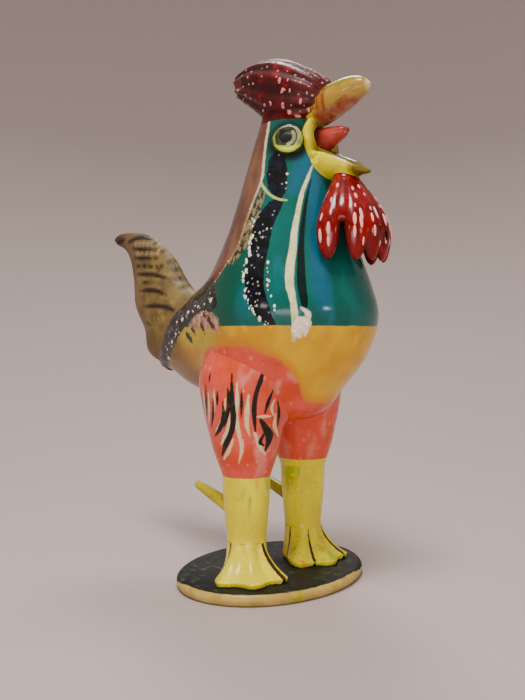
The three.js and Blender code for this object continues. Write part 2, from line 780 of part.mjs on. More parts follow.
rooster.add(namedMesh('base_plinth', plinth(), glaze.baseDark));
sidesOf.forEach(([name, side, yaw]) => {
  rooster.add(namedMesh(`foot_${name}`, foot(side, yaw), glaze.legYellow));
  rooster.add(namedMesh(`shank_${name}`, shank(side), glaze.legYellow));
  rooster.add(namedMesh(`spur_${name}`, spur(side), glaze.legYellow));
  rooster.add(namedMesh(`thigh_${name}`, thigh(side), glaze.coral));
});
rooster.add(namedMesh('belly_shell', bellyShell(), glaze.mustard));
rooster.add(namedMesh('breast_shell', breastShell(), glaze.teal));
rooster.add(namedMesh('tail', tail(), glaze.straw));
rooster.add(namedMesh('comb', combForm(0).subtract(bodyClear), glaze.crimson));
rooster.add(namedMesh('beak_upper', upperBeak(), glaze.beakYellow));
rooster.add(namedMesh('beak_lower', lowerBeak(), glaze.beakYellow));
rooster.add(namedMesh('tongue', tongue(), glaze.mouthPink));
sidesOf.forEach(([name, side]) => {
  rooster.add(namedMesh(`eye_${name}`, eye(side), glaze.eyeOlive));
  rooster.add(namedMesh(`wattle_${name}`, wattle(side), glaze.crimson));
});

export default rooster;
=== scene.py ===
# Ceramic rooster figurine, put together as the potter does it: plinth, legs, body, tail, head,
# and at the end the slip that softens the joints. In the frame the bird faces +X, its right side is
# -Y and the table is at height 0. Sizes are millimetres, those of table, lights and camera metres.
import math

import bpy
import numpy as np
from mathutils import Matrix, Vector
from mathutils.bvhtree import BVHTree


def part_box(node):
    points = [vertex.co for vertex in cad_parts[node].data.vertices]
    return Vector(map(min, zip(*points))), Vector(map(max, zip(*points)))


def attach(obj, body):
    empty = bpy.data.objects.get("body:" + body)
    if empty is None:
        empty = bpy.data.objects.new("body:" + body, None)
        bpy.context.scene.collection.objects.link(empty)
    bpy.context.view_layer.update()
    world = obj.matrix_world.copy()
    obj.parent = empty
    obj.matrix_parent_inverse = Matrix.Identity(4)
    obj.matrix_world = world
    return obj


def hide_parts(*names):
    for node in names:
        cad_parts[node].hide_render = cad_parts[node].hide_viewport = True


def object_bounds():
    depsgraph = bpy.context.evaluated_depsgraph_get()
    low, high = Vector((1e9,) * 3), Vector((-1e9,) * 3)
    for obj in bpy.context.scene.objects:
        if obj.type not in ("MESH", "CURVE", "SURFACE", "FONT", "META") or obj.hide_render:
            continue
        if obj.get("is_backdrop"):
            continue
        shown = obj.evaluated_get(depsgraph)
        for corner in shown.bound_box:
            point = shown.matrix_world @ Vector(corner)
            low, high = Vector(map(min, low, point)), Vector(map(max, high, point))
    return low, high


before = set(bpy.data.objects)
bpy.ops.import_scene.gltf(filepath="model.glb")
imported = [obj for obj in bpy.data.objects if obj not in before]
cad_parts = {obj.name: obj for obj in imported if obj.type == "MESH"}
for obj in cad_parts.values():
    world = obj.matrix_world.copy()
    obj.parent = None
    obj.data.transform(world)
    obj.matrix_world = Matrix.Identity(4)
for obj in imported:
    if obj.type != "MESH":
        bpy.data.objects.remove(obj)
cad_low, cad_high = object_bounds()
MM = 0.001


# The table is a matt pale board that sweeps up all round like a shallow bowl, so that the
# figurine stands in front of the same plain ground from every side. It isn't part of the figurine.
def round_turns(count):
    """Turns spaced evenly over a full circle."""
    return np.linspace(0, 2 * math.pi, count, endpoint=False)


def put_in(name, data):
    """A thing in the scene with a mesh, a light or a camera as its data."""
    thing = bpy.data.objects.new(name, data)
    bpy.context.scene.collection.objects.link(thing)
    return thing


def shape(name, points, faces):
    mesh = bpy.data.meshes.new(name)
    mesh.from_pydata(points, [], faces)
    return put_in(name, mesh)


flat_radius, flat_rings = 0.5, 30
sweep_radius = 1.7
sweep_turns = np.linspace(0.05, 1, 24) * math.pi / 2
board_sides = 96
board_radii = np.concatenate([np.linspace(0.02, flat_radius, flat_rings),
                              flat_radius + sweep_radius * np.sin(sweep_turns)])
board_heights = np.concatenate([np.zeros(flat_rings), sweep_radius * (1 - np.cos(sweep_turns))])
board_points = [(0, 0, 0)] + [(r * math.cos(t), r * math.sin(t), z)
                              for r, z in zip(board_radii, board_heights) for t in round_turns(board_sides)]
board_faces = [(0, 1 + i, 1 + (i + 1) % board_sides) for i in range(board_sides)]
for ring in range(len(board_radii) - 1):
    low, high = 1 + ring * board_sides, 1 + (ring + 1) * board_sides
    for i in range(board_sides):
        j = (i + 1) % board_sides
        board_faces.append((low + i, high + i, high + j, low + j))
board = shape("table_board", board_points, board_faces)
board.data.shade_smooth()
board_paint = bpy.data.materials.new("matt_board")
board_paint.use_nodes = True
board_paint.node_tree.nodes["Principled BSDF"].inputs["Base Color"].default_value = (0.44, 0.36, 0.335, 1)
board_paint.node_tree.nodes["Principled BSDF"].inputs["Roughness"].default_value = 0.75
board.data.materials.append(board_paint)
board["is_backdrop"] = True


# Two soft boxes hang high, in front and behind, where they mirror in the comb and the tail alone and
# leave the painted neck clear. Three small ones stand low: two put the glints on the girth and one
# fills in the legs.
def soft_box(name, place, aim, width, height, power, tint):
    light = bpy.data.lights.new(name, "AREA")
    light.shape = "RECTANGLE"
    light.size = width
    light.size_y = height
    light.energy = power
    light.color = tint
    box = put_in(name, light)
    box.location = place
    box.rotation_euler = (Vector(aim) - Vector(place)).to_track_quat("-Z", "Y").to_euler()
    box.visible_camera = False


figure_middle = (0, 0, 0.17)
soft_box("key_box", (0.22, -0.5, 1.55), figure_middle, 0.4, 0.4, 24, (1, 0.97, 0.95))
soft_box("back_box", (-0.55, 0.65, 1.4), figure_middle, 0.45, 0.45, 12, (1, 0.97, 0.94))
soft_box("left_glint", (0.06, -0.92, 0.42), figure_middle, 0.12, 0.12, 0.7, (1, 0.97, 0.94))
soft_box("leg_fill", (0.5, -0.75, 0.16), (0, 0, 0.07), 0.5, 0.22, 2.4, (1, 0.99, 0.95))
soft_box("right_glint", (0.95, -0.12, 0.33), figure_middle, 0.1, 0.1, 0.9, (1, 0.98, 0.97))
room = bpy.data.worlds.new("grey_room")
room.use_nodes = True
room.node_tree.nodes["Background"].inputs["Color"].default_value = (0.88, 0.82, 0.79, 1)
room.node_tree.nodes["Background"].inputs["Strength"].default_value = 0.62
bpy.context.scene.world = room

# The camera stands level with the bird's belly, a little over half a metre off, turned to its
# front right. The picture is 525 by 700 pixels.
picture_width, picture_height = 525, 700
focal_pixels = 790
origin_column, horizon_row = 272, 337
camera_turn = math.radians(40)
camera_distance, camera_height = 0.5234, 0.158
camera_data = bpy.data.cameras.new("studio_camera")
camera_data.sensor_width = 36
camera_data.lens = 36 * focal_pixels / picture_height
camera_data.shift_x = (picture_width / 2 - origin_column) / picture_height
camera_data.shift_y = (horizon_row - picture_height / 2) / picture_height
camera_data.clip_start = 0.02
camera = put_in("studio_camera", camera_data)
camera.location = (camera_distance * math.sin(camera_turn), -camera_distance * math.cos(camera_turn),
                   camera_height)
camera.rotation_euler = (math.pi / 2, 0, camera_turn)
bpy.context.scene.camera = camera


# Plinth: an oval slab of clay with a full round edge, glazed green-black on top, ochre round the
# rim and bare below, where two vents let the air out of the legs in the kiln.
class Form:
    """A clay form: points in millimetres, faces, and a tree that finds its surface."""

    def __init__(self, points, faces):
        self.points = np.asarray(points, float)
        self.faces = faces
        self.tree = BVHTree.FromPolygons(self.points.tolist(), faces)
        self.raised = np.zeros(len(self.points))

    def meet(self, start, way):
        """The place and outward normal where a line from start first meets the surface."""
        place, normal, _, _ = self.tree.ray_cast(Vector(start), Vector(way))
        if place is None:
            place, normal, _, _ = self.tree.find_nearest(Vector(start))
        return np.array(place), np.array(normal)

    def add(self, points, faces, raised):
        """More clay or enamel on the same piece, which the surface finder leaves out."""
        first = len(self.points)
        self.points = np.vstack([self.points, points])
        self.faces = self.faces + [tuple(first + i for i in face) for face in faces]
        self.raised = np.concatenate([self.raised, np.full(len(points), float(raised))])


def wall_faces(levels, sides):
    """The faces between rings of as many points, stacked in levels."""
    return [(low + i, low + (i + 1) % sides, low + sides + (i + 1) % sides, low + sides + i)
            for low in range(0, (levels - 1) * sides, sides) for i in range(sides)]


def skin_over(rings):
    """A closed form over a stack of rings of as many points, with its ends closed by fans."""
    rings = np.asarray(rings, float)
    levels, sides, _ = rings.shape
    points = np.vstack([rings.reshape(-1, 3), rings[0].mean(0), rings[-1].mean(0)])
    faces = wall_faces(levels, sides)
    last = (levels - 1) * sides
    for i in range(sides):
        j = (i + 1) % sides
        faces.append((levels * sides, j, i))
        faces.append((levels * sides + 1, last + i, last + j))
    return Form(points, faces)


def hoop(middle, one, other, count):
    """A ring of points about a middle, from its two half axes."""
    turns = round_turns(count)[:, None]
    return np.asarray(middle) + np.cos(turns) * np.asarray(one) + np.sin(turns) * np.asarray(other)


def level_hoop(x, y, height, along, across, count):
    return hoop((x, y, height), (along, 0, 0), (0, across, 0), count)


forms = {}
pieces = {}


def make(name, form, nodes=None):
    """The piece of a form, which stands for the CAD node of its own name, or for those given. No bead
    reaches past the box of the CAD."""
    form.points = np.clip(form.points, np.array(cad_low) / MM, np.array(cad_high) / MM)
    piece = shape(name, (form.points * MM).tolist(), form.faces)
    piece.data.shade_smooth()
    forms[name] = form
    pieces[name] = piece
    nodes = nodes or [name]
    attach(piece, "root")
    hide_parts(*nodes)
    return piece


def layer(piece, name, values):
    """A value at each point of a piece, which its glaze reads."""
    values = np.broadcast_to(np.asarray(values, np.float32), (len(piece.data.vertices),))
    piece.data.attributes.new(name, "FLOAT", "POINT").data.foreach_set("value", np.ascontiguousarray(values))


class Shade:
    """A socket in a glaze's nodes. Sums, differences and products of it add their Math nodes."""

    def __init__(self, tree, socket=None):
        self.tree = tree
        self.socket = socket

    def node(self, kind, settings=None, inputs=None, output=0):
        """A node of a kind, with its settings made first and then its values and links put in."""
        made = self.tree.nodes.new("ShaderNode" + kind)
        for name, value in (settings or {}).items():
            setattr(made, name, value)
        for name, value in (inputs or {}).items():
            if isinstance(value, Shade):
                self.tree.links.new(value.socket, made.inputs[name])
            else:
                made.inputs[name].default_value = value
        return Shade(self.tree, made.outputs[output])

    def maths(self, operation, *values):
        return self.node("Math", {"operation": operation}, dict(enumerate(values)))

    def __add__(self, other):
        return self.maths("ADD", self, other)

    def __sub__(self, other):
        return self.maths("SUBTRACT", self, other)

    def __rsub__(self, other):
        return self.maths("SUBTRACT", other, self)

    def __mul__(self, other):
        return self.maths("MULTIPLY", self, other)

    __radd__ = __add__
    __rmul__ = __mul__

    def most(self, other):
        return self.maths("MAXIMUM", self, other)

    def between(self, low, high, start=0.0, end=1.0):
        """Start below the low value, end above the high one, and smooth between them."""
        return self.node("MapRange", {"interpolation_type": "SMOOTHSTEP"},
                         {0: self, 1: low, 2: high, 3: start, 4: end})

    def below(self, low, high, strength=1.0):
        """The full strength below the low value, none above the high one, and smooth between them."""
        return self.between(low, high, strength, 0.0)

    def over(self, ground, pigment):
        """The ground with a pigment laid over it where this mask is 1. Both may be hex codes."""
        ground, pigment = [colour(tone) if isinstance(tone, str) else tone for tone in (ground, pigment)]
        return self.node("Mix", {"data_type": "RGBA"}, {0: self, 6: ground, 7: pigment}, output=2)

    def value(self, name):
        """The layer of that name on the piece."""
        return self.node("Attribute", {"attribute_name": name}, output=2)

    def height(self):
        """The height above the table in millimetres."""
        place = self.node("TexCoord", output=3)
        return self.node("SeparateXYZ", inputs={0: place}, output=2) * 1000

    def mottle(self, grain, detail=2.0, stretch=(1, 1, 1), shift=0.0):
        """Soft clouds from 0 to 1, about as many millimetres across as the grain says."""
        place = self.node("TexCoord", output=3)
        moved = self.node("Mapping", inputs={0: place, 1: (shift, shift, shift),
                                             3: tuple(1000 / grain / s for s in stretch)})
        return self.node("TexNoise", inputs={0: moved, 2: 1.0, 3: detail, 4: 0.55})

    def wavering(self, grain, amount):
        """This value with soft clouds of a grain added, which pull it up and down by half the amount."""
        return self + (self.mottle(grain) - 0.5) * amount

    def flecks(self, grain, size):
        """Scattered specks, 1 inside, in cells of so many millimetres, with a radius as a share of a cell."""
        place = self.node("TexCoord", output=3)
        cells = self.node("TexVoronoi", inputs={0: place, 2: 1000 / grain})
        return cells.below(size * 0.75, size)


def colour(code, strength=1.35):
    """The linear colour of a pigment from its sRGB hex code. Glaze mirrors some of the room over its
    pigment, so the pigment itself is a little stronger than the colour that is seen."""
    shares = [int(code[i:i + 2], 16) / 255 for i in (1, 3, 5)]
    linear = [s / 12.92 if s <= 0.04045 else ((s + 0.055) / 1.055) ** 2.4 for s in shares]
    grey = sum(linear) / 3
    return (*[min(max(grey + (s - grey) * strength, 0.002), 1) for s in linear], 1.0)


def new_glaze(piece, name):
    """A new glaze on a piece, as the shade that its nodes start from."""
    material = bpy.data.materials.new(name)
    material.use_nodes = True
    material.node_tree.nodes.clear()
    piece.data.materials.append(material)
    return Shade(material.node_tree)


def fire(shade, tone, roughness, relief=None):
    """Closes a glaze: its colour, its gloss and the unevenness of clay and brushwork under the coat."""
    clay = shade.mottle(26, 3.0) * 0.5 + shade.mottle(6, 2.0, shift=3.1) * 0.12
    clay = clay + shade.mottle(1.6, 1.0) * 0.012
    surface = clay if relief is None else clay + relief * 0.12
    bump = shade.node("Bump", inputs={"Strength": 0.55, "Distance": MM, "Height": surface})
    coat = shade.node("BsdfPrincipled", inputs={"Base Color": tone, "Roughness": roughness, "Normal": bump,
                                                "IOR": 1.5, "Specular IOR Level": 0.3})
    out = shade.tree.nodes.new("ShaderNodeOutputMaterial")
    shade.tree.links.new(coat.socket, out.inputs[0])


slab_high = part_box("base_plinth")[1]
slab_half_width = slab_high.x / MM
slab_half_length = slab_high.y / MM
slab_top = slab_high.z / MM
slab_edge_round = 3.7
leg_forward = 3.3
leg_spacing = 58
vent_radius = 4.5


def lift_off(things):
    """The form that the first thing's modifiers leave, with the working things cleared away."""
    mesh = things[0].evaluated_get(bpy.context.evaluated_depsgraph_get()).to_mesh()
    points = np.zeros(len(mesh.vertices) * 3)
    mesh.vertices.foreach_get("co", points)
    faces = [tuple(face.vertices) for face in mesh.polygons]
    for thing in things:
        bpy.data.objects.remove(thing)
    return Form(points.reshape(-1, 3), faces)


def cut_away(form, cutter):
    """The form less a cutter, both closed."""
    clay, blade = [shape("clay", made.points.tolist(), made.faces) for made in (form, cutter)]
    knife = clay.modifiers.new("knife", "BOOLEAN")
    knife.operation = "DIFFERENCE"
    knife.solver = "EXACT"
    knife.object = blade
    return lift_off([clay, blade])


quarter = np.linspace(0, math.pi / 2, 9)
flat_insets = (50, 35, 20, 10)
slab_levels = [(0, inset) for inset in flat_insets]
slab_levels += [(slab_edge_round * (1 - math.cos(t)), slab_edge_round * (1 - math.sin(t))) for t in quarter]
slab_levels += [(slab_top - slab_edge_round * (1 - math.sin(t)), slab_edge_round * (1 - math.cos(t)))
                for t in quarter]
slab_levels += [(slab_top, inset) for inset in reversed(flat_insets)]
slab = skin_over([level_hoop(0, 0, height, slab_half_width - inset, slab_half_length - inset, 220)
                  for height, inset in slab_levels])
for side in (-1, 1):
    slab = cut_away(slab, skin_over([level_hoop(leg_forward, side * leg_spacing / 2, height,
                                                vent_radius, vent_radius, 40)
                                     for height in (-1, slab_top + 1)]))
plinth = make("plinth", slab, ["base_plinth"])
# How far each point lies towards the ends of the slab that the camera sees left and right, for the painted
# shade on the rim.
layer(plinth, "ends", abs(slab.points @ np.array([0.77, 0.64, 0])))
shade = new_glaze(plinth, "plinth_glaze")
height = shade.height()
dark_top = shade.mottle(16, 3.0).between(0.35, 0.7).over("#080908", "#121418")
dark_top = shade.mottle(9, 2.0, (0.5, 1, 1), 1.7).between(0.56, 0.68).over(dark_top, "#2a371e")
dark_top = shade.mottle(4, 2.0, (3, 0.6, 1), 5.5).between(0.62, 0.7).over(dark_top, "#4a4c50")
ochre_rim = shade.mottle(14, 3.0).between(0.35, 0.65).over("#b8a36c", "#a08a58")
ochre_rim = shade.mottle(22, 2.0, shift=2.2).between(0.56, 0.68).over(ochre_rim, "#9a8f3e")
rim_line = slab_top - 0.45
# Towards those ends the dark top runs further down over the ochre rim: painted shade where the rim turns away
# from the light.
painted_end_shade = shade.value("ends").between(50, 64) * (shade.mottle(5) * 2.2 + 1.6)
above_rim = (height + painted_end_shade).wavering(7, 0.5).between(rim_line - 0.2, rim_line + 0.2)
bare_clay = shade.mottle(1.5, 1.0).over("#c9a98a", "#b8927a")
glazed = height.between(0.15, 0.6)
tone = glazed.over(bare_clay, above_rim.over(ochre_rim, dark_top))
fire(shade, tone, 0.8 - 0.5 * glazed + 0.24 * above_rim + 0.1 * shade.mottle(8), above_rim)


# Feet, shanks and spurs: each foot is a fan of three toes with a web between them, pressed on
# the slab and drawn up to the ankle. The shank is a rolled tube of clay, the spur a blunt cone
# stuck on behind. All are glazed yellow and outlined with dark brush lines. The line down the
# left foot's web groove also paints the shade there, and the spurs are darkened with painted shade.
def smooth_through(knots):
    """A value that runs smoothly through knots of a station and a value, in rising order."""
    stations, values = np.array(knots, float).T
    order = np.arange(len(knots))
    before, after = np.maximum(order - 1, 0), np.minimum(order + 1, len(knots) - 1)
    slopes = (values[after] - values[before]) / (stations[after] - stations[before])

    def value(station):
        i = np.clip(np.searchsorted(stations, station) - 1, 0, len(knots) - 2)
        span = stations[i + 1] - stations[i]
        t = np.clip((station - stations[i]) / span, 0, 1)
        blend = t * t * (3 - 2 * t)
        bend = t * (1 - t) * span
        rise = (values[i + 1] - values[i]) * blend
        return values[i] + rise + bend * ((1 - t) * slopes[i] - t * slopes[i + 1])
    return value


def out_at(turn):
    """The level direction at a turn in degrees, where 0 is forward."""
    return np.array([math.cos(math.radians(turn)), math.sin(math.radians(turn)), 0])


def curve(knots, count):
    """Points spaced along a smooth curve through the knots."""
    knots = np.asarray(knots, float)
    p = np.vstack([2 * knots[0] - knots[1], knots, 2 * knots[-1] - knots[-2]])
    gap = np.maximum(np.linalg.norm(np.diff(p, axis=0), axis=1) ** 0.5, 1e-6)
    station = np.linspace(0, len(knots) - 1, count)
    i = np.minimum(station.astype(int), len(knots) - 2)
    t = (station - i)[:, None]
    a, b, c, d = p[i], p[i + 1], p[i + 2], p[i + 3]
    g0, g1, g2 = gap[i][:, None], gap[i + 1][:, None], gap[i + 2][:, None]
    leave = ((b - a) / g0 - (c - a) / (g0 + g1) + (c - b) / g1) * g1
    arrive = ((c - b) / g1 - (d - b) / (g1 + g2) + (d - c) / g2) * g1
    return b + leave * t + (3 * (c - b) - 2 * leave - arrive) * t**2 + (2 * (b - c) + leave + arrive) * t**3


def off_strokes(points, strokes, reach=8, soft=False):
    """How far each point lies outside the nearest brush stroke, negative inside, in millimetres. A
    stroke is a row of points with a half width for each. Soft strokes are told in whole millimetres,
    so that their edge thins out over the last one."""
    away = np.full(len(points), float(reach))
    for path, half_widths in strokes:
        path = np.asarray(path, float)
        widths = np.interp(np.linspace(0, 1, len(path)), np.linspace(0, 1, len(half_widths)), half_widths)
        margin = reach + max(half_widths)
        near = np.where(np.all((points > path.min(0) - margin) & (points < path.max(0) + margin), axis=1))[0]
        some = points[near]
        best = away[near]
        for k in range(len(path) - 1):
            run = path[k + 1] - path[k]
            t = np.clip((some - path[k]) @ run / max(run @ run, 1e-9), 0, 1)
            gap = np.linalg.norm(some - path[k] - t[:, None] * run, axis=1)
            best = np.minimum(best, gap - widths[k] - (widths[k + 1] - widths[k]) * t)
        away[near] = best
    return np.trunc(away) if soft else away


def brushed(shade, name, softness=0.35, waver=0.9, grain=3.0):
    """The mask of a stroke layer, 1 inside, with the wavering edge of a brush."""
    return shade.value(name).wavering(grain, waver).below(-softness, softness)


sides = (("right", -1), ("left", 1))
ankle_radius, ankle_height = 12.4, 33
shank_top_radius, knee_height = 15.2, 71
shank_overlap = 3
toe_length, heel_radius, toe_spread = 31, 14, 46
toe_thickness, web_dip, knuckle_height = 6.5, 4.6, 0.9
toe_lip = 0.1
foot_yaws = {"right": -38, "left": -10}
# Brush lines down each foot, as a turn round the ankle and half widths from the slab up. The left
# foot's line at -35 lies in the groove between two toes and also paints the shade there.
foot_lines_and_web_shade = {
    "right": [(3, [1.7, 1.5, 1.1]), (-100, [2.0, 1.6, 1.1]), (60, [1.0, 1.2, 0.6]), (-163, [1.2, 1.0, 0.5])],
    "left": [(-35, [1.2, 0.9, 0.4]), (26, [1.4, 1.0, 0.5]), (-95, [1.3, 1.1, 0.6]), (75, [1.2, 1.0, 0.5]),
             (128, [1.2, 1.0, 0.5])],
}
spur_length, spur_rise, spur_height = 37, 13.5, 47
spur_root_radius, spur_middle_radius, spur_tip_radius = 5, 3.6, 2.5
spur_blunt, spur_rounded_off = 0.94, 0.062
shank_middle = (ankle_height + knee_height) / 2, (ankle_radius + shank_top_radius) / 2 + 0.4
shank_radius = smooth_through([(ankle_height, ankle_radius), shank_middle, (knee_height, shank_top_radius)])


def foot_form(side, yaw):
    """A fan of three toes that rises from the slab to the ankle. The lowest share of it is the lip."""
    low = slab_top + 0.1
    lip = toe_thickness * 0.45
    turns = round_turns(240)
    off = np.degrees(np.arctan2(np.sin(turns), np.cos(turns)))
    fan = np.exp(-((np.abs(off) / (1.62 * toe_spread)) ** 6))
    toes = np.cos(2 * math.pi * off / toe_spread)
    outline = heel_radius + (toe_length - heel_radius - web_dip * (0.5 - 0.5 * toes)) * fan
    spun = turns + math.radians(yaw)
    rings = []
    for level in np.concatenate([np.linspace(0, toe_lip, 7), np.linspace(toe_lip + 0.015, 1, 44)]):
        above = max(level - toe_lip, 0) / (1 - toe_lip)
        in_lip = min(level / toe_lip, 1)
        radius = ankle_radius + (outline - ankle_radius) * (1 - above) ** 2.3
        radius = radius + knuckle_height * toes * fan * math.sin(math.pi * above) ** 1.5
        radius = radius - 1.5 * (1 - in_lip) ** 2
        height = low + in_lip * lip + above * (ankle_height - low - lip)
        rings.append(np.stack([leg_forward + radius * np.cos(spun),
                               side * leg_spacing / 2 + radius * np.sin(spun),
                               np.full(len(spun), height)], -1))
    return skin_over(rings)


def leg_glaze(piece, name, outlined=False, painted_shade_share=0.0):
    shade = new_glaze(piece, name)
    yellow = shade.mottle(18, 3.0, stretch=(1, 1, 2.5)).between(0.35, 0.68).over("#e2d810", "#cfc00c")
    yellow = shade.mottle(11, 2.0, (1, 1, 3), 1.3).between(0.56, 0.7).over(yellow, "#a5b01c")
    yellow = shade.mottle(13, 2.0, (1, 1, 3), 4.3).between(0.58, 0.72).over(yellow, "#d38f14")
    yellow = (shade.flecks(4.2, 0.16) * 0.5).over(yellow, "#8d8a1c")
    yellow = (shade.flecks(6.3, 0.14) * 0.6).over(yellow, "#f2eb9c")
    # A darker olive laid over the yellow by the given share. The spurs take it as painted shade, for they sit
    # in shade behind the shanks under the thighs.
    yellow = (painted_shade_share + shade.mottle(9, 2.0, shift=7.7).between(0.45, 0.7) * painted_shade_share).over(yellow, "#6d6420")
    lines = brushed(shade, "outline", 0.3, 1.1) if outlined else None
    tone = lines.over(yellow, "#2a2413") if outlined else yellow
    fire(shade, tone, 0.16 + 0.14 * shade.mottle(9), lines)


for name, side in sides:
    aside = side * leg_spacing / 2
    foot = make(f"foot_{name}", foot_form(side, foot_yaws[name]))
    form = forms[f"foot_{name}"]
    lines = []
    for turn, widths in foot_lines_and_web_shade[name]:
        path = [form.meet((leg_forward, aside, height), out_at(turn))[0]
                for height in (slab_top + 0.6, slab_top + 4, 14, 18, 23, 29)]
        lines.append((curve(path, 24), widths))
    edge = np.maximum(form.points[:, 2] - slab_top - 0.9, 0)
    layer(foot, "outline", np.minimum(off_strokes(form.points, lines), edge * 1.5))
    leg_glaze(foot, f"foot_glaze_{name}", outlined=True)

    shank_rings = []
    for level in np.linspace(ankle_height - shank_overlap, knee_height + shank_overlap, 54):
        wide = shank_radius(min(max(level, ankle_height), knee_height)) + 0.06
        shank_rings.append(level_hoop(leg_forward, aside, level, wide, wide, 120))
    shank = make(f"shank_{name}", skin_over(shank_rings))
    leg_glaze(shank, f"shank_glaze_{name}")

    spur_run = math.hypot(spur_length, spur_rise)
    spur_way = np.array([-spur_length, 0, spur_rise]) / spur_run
    spur_up = np.array([spur_rise, 0, spur_length]) / spur_run
    spur_root = np.array([leg_forward - shank_radius(spur_height) * 0.6, aside, spur_height])
    tip_shares = spur_blunt + (1 - spur_blunt) * np.sin(np.linspace(0.1, 1, 9) * math.pi / 2)
    spur_rings = []
    for share in np.concatenate([np.linspace(0, spur_blunt, 40), tip_shares]):
        tip = math.sqrt(max(1 - (max(share - spur_blunt, 0) / spur_rounded_off) ** 2, 0.002))
        radius = tip * np.interp(share, [0, 0.6, 1], [spur_root_radius, spur_middle_radius, spur_tip_radius])
        spur_rings.append(hoop(spur_root + spur_way * share * spur_run, (0, radius, 0), radius * spur_up, 60))
    spur = make(f"spur_{name}", skin_over(spur_rings))
    # The spur glaze is darkened with painted shade.
    leg_glaze(spur, f"spur_glaze_{name}", painted_shade_share=0.45)


# Thighs: drumsticks of soft clay that swell into a haunch against the belly, glazed coral and
# brushed with black and cream feather strokes that hang from the haunch.
haunch_radius, haunch_height, haunch_top = 26, 125, 155
haunch_set_back, haunch_lengthening = 2.5, 5
thigh_radius = smooth_through([(knee_height, shank_top_radius),
                               (knee_height + 0.35 * (haunch_height - knee_height),
                                (shank_top_radius + haunch_radius) / 2),
                               (haunch_height, haunch_radius),
                               ((haunch_height + haunch_top) / 2, haunch_radius * 0.94),
                               (haunch_top, haunch_radius * 0.45)])
# Feather strokes, each as places of a turn round the thigh and a height, and half widths
black_feathers = [
    ([(-89, 125), (-91, 116)], [0.4, 1.0, 0.3]),
    ([(-81, 119), (-81, 110), (-90, 102), (-104, 97)], [0.4, 1.3, 1.4, 0.5]),
    ([(-72, 127), (-71, 118), (-77, 108), (-82, 103)], [0.4, 1.3, 1.2, 0.4]),
    ([(-66, 136), (-66, 121), (-65, 109), (-70, 100), (-82, 92), (-94, 85)], [0.5, 1.4, 1.6, 1.5, 1.6, 0.5]),
    ([(-53, 127), (-53, 118), (-54, 109)], [0.3, 0.9, 0.3]),
    ([(-23, 141), (-30, 132), (-35, 124), (-37, 114), (-34, 101)], [0.6, 1.2, 1.2, 1.4, 0.5]),
    ([(-15, 126), (-20, 118), (-23, 112)], [0.4, 1.1, 0.4]),
    ([(-7, 119), (-1, 110), (0, 103)], [0.4, 1.2, 0.5]),
    ([(-28, 108), (-20, 103), (-12, 97), (-16, 89)], [0.8, 1.9, 2.4, 0.7]),
    ([(-22, 99), (-26, 94), (-20, 92)], [0.6, 1.2, 0.5]),
    ([(-98, 120), (-102, 110), (-112, 102)], [0.4, 1.1, 0.4]),
    ([(-113, 128), (-116, 118), (-122, 108)], [0.4, 1.2, 0.4]),
    ([(-130, 124), (-133, 112), (-138, 103)], [0.4, 1.2, 0.4]),
    ([(-104, 136), (-105, 130)], [0.3, 0.8, 0.3]),
]
cream_feathers = [
    ([(-76, 121), (-79, 113), (-87, 105), (-100, 100)], [0.3, 1.0, 1.1, 0.4]),
    ([(-71, 111), (-75, 102), (-84, 96), (-92, 92)], [0.4, 1.0, 1.1, 0.5]),
    ([(-59, 131), (-59, 120), (-61, 110), (-58, 100), (-54, 90)], [0.4, 1.0, 1.1, 1.2, 0.4]),
    ([(-44, 123), (-46, 113), (-46, 105), (-42, 98)], [0.4, 1.3, 1.1, 0.3]),
    ([(-67, 96), (-76, 89), (-90, 83)], [0.5, 1.1, 0.6]),
    ([(-35, 100), (-27, 92), (-15, 86)], [0.7, 1.2, 0.4]),
    ([(-7, 111), (-6, 104), (6, 97)], [0.5, 1.4, 0.6]),
    ([(-33, 110), (-24, 110), (-14, 110)], [0.3, 0.9, 0.4]),
    ([(-52, 96), (-54, 89), (-60, 81)], [0.4, 1.0, 0.3]),
    ([(-11, 121), (-14, 115), (-10, 110)], [0.3, 0.9, 0.4]),
    ([(-95, 126), (-97, 117), (-103, 107)], [0.3, 1.0, 0.4]),
    ([(-108, 124), (-110, 114), (-118, 104)], [0.3, 1.0, 0.4]),
    ([(-122, 126), (-125, 114), (-130, 105)], [0.3, 1.0, 0.4]),
]
left_thigh_shift, left_knee_paint = 22, 76


def coral_tone(shade):
    coral = shade.mottle(20, 3.0).between(0.36, 0.66).over("#cf6a62", "#bf5c4c")
    coral = shade.mottle(15, 2.0, (1, 1, 2), 2.7).between(0.55, 0.72).over(coral, "#d98a84")
    return (shade.flecks(7.5, 0.2) * 0.35).over(coral, "#f0a898")


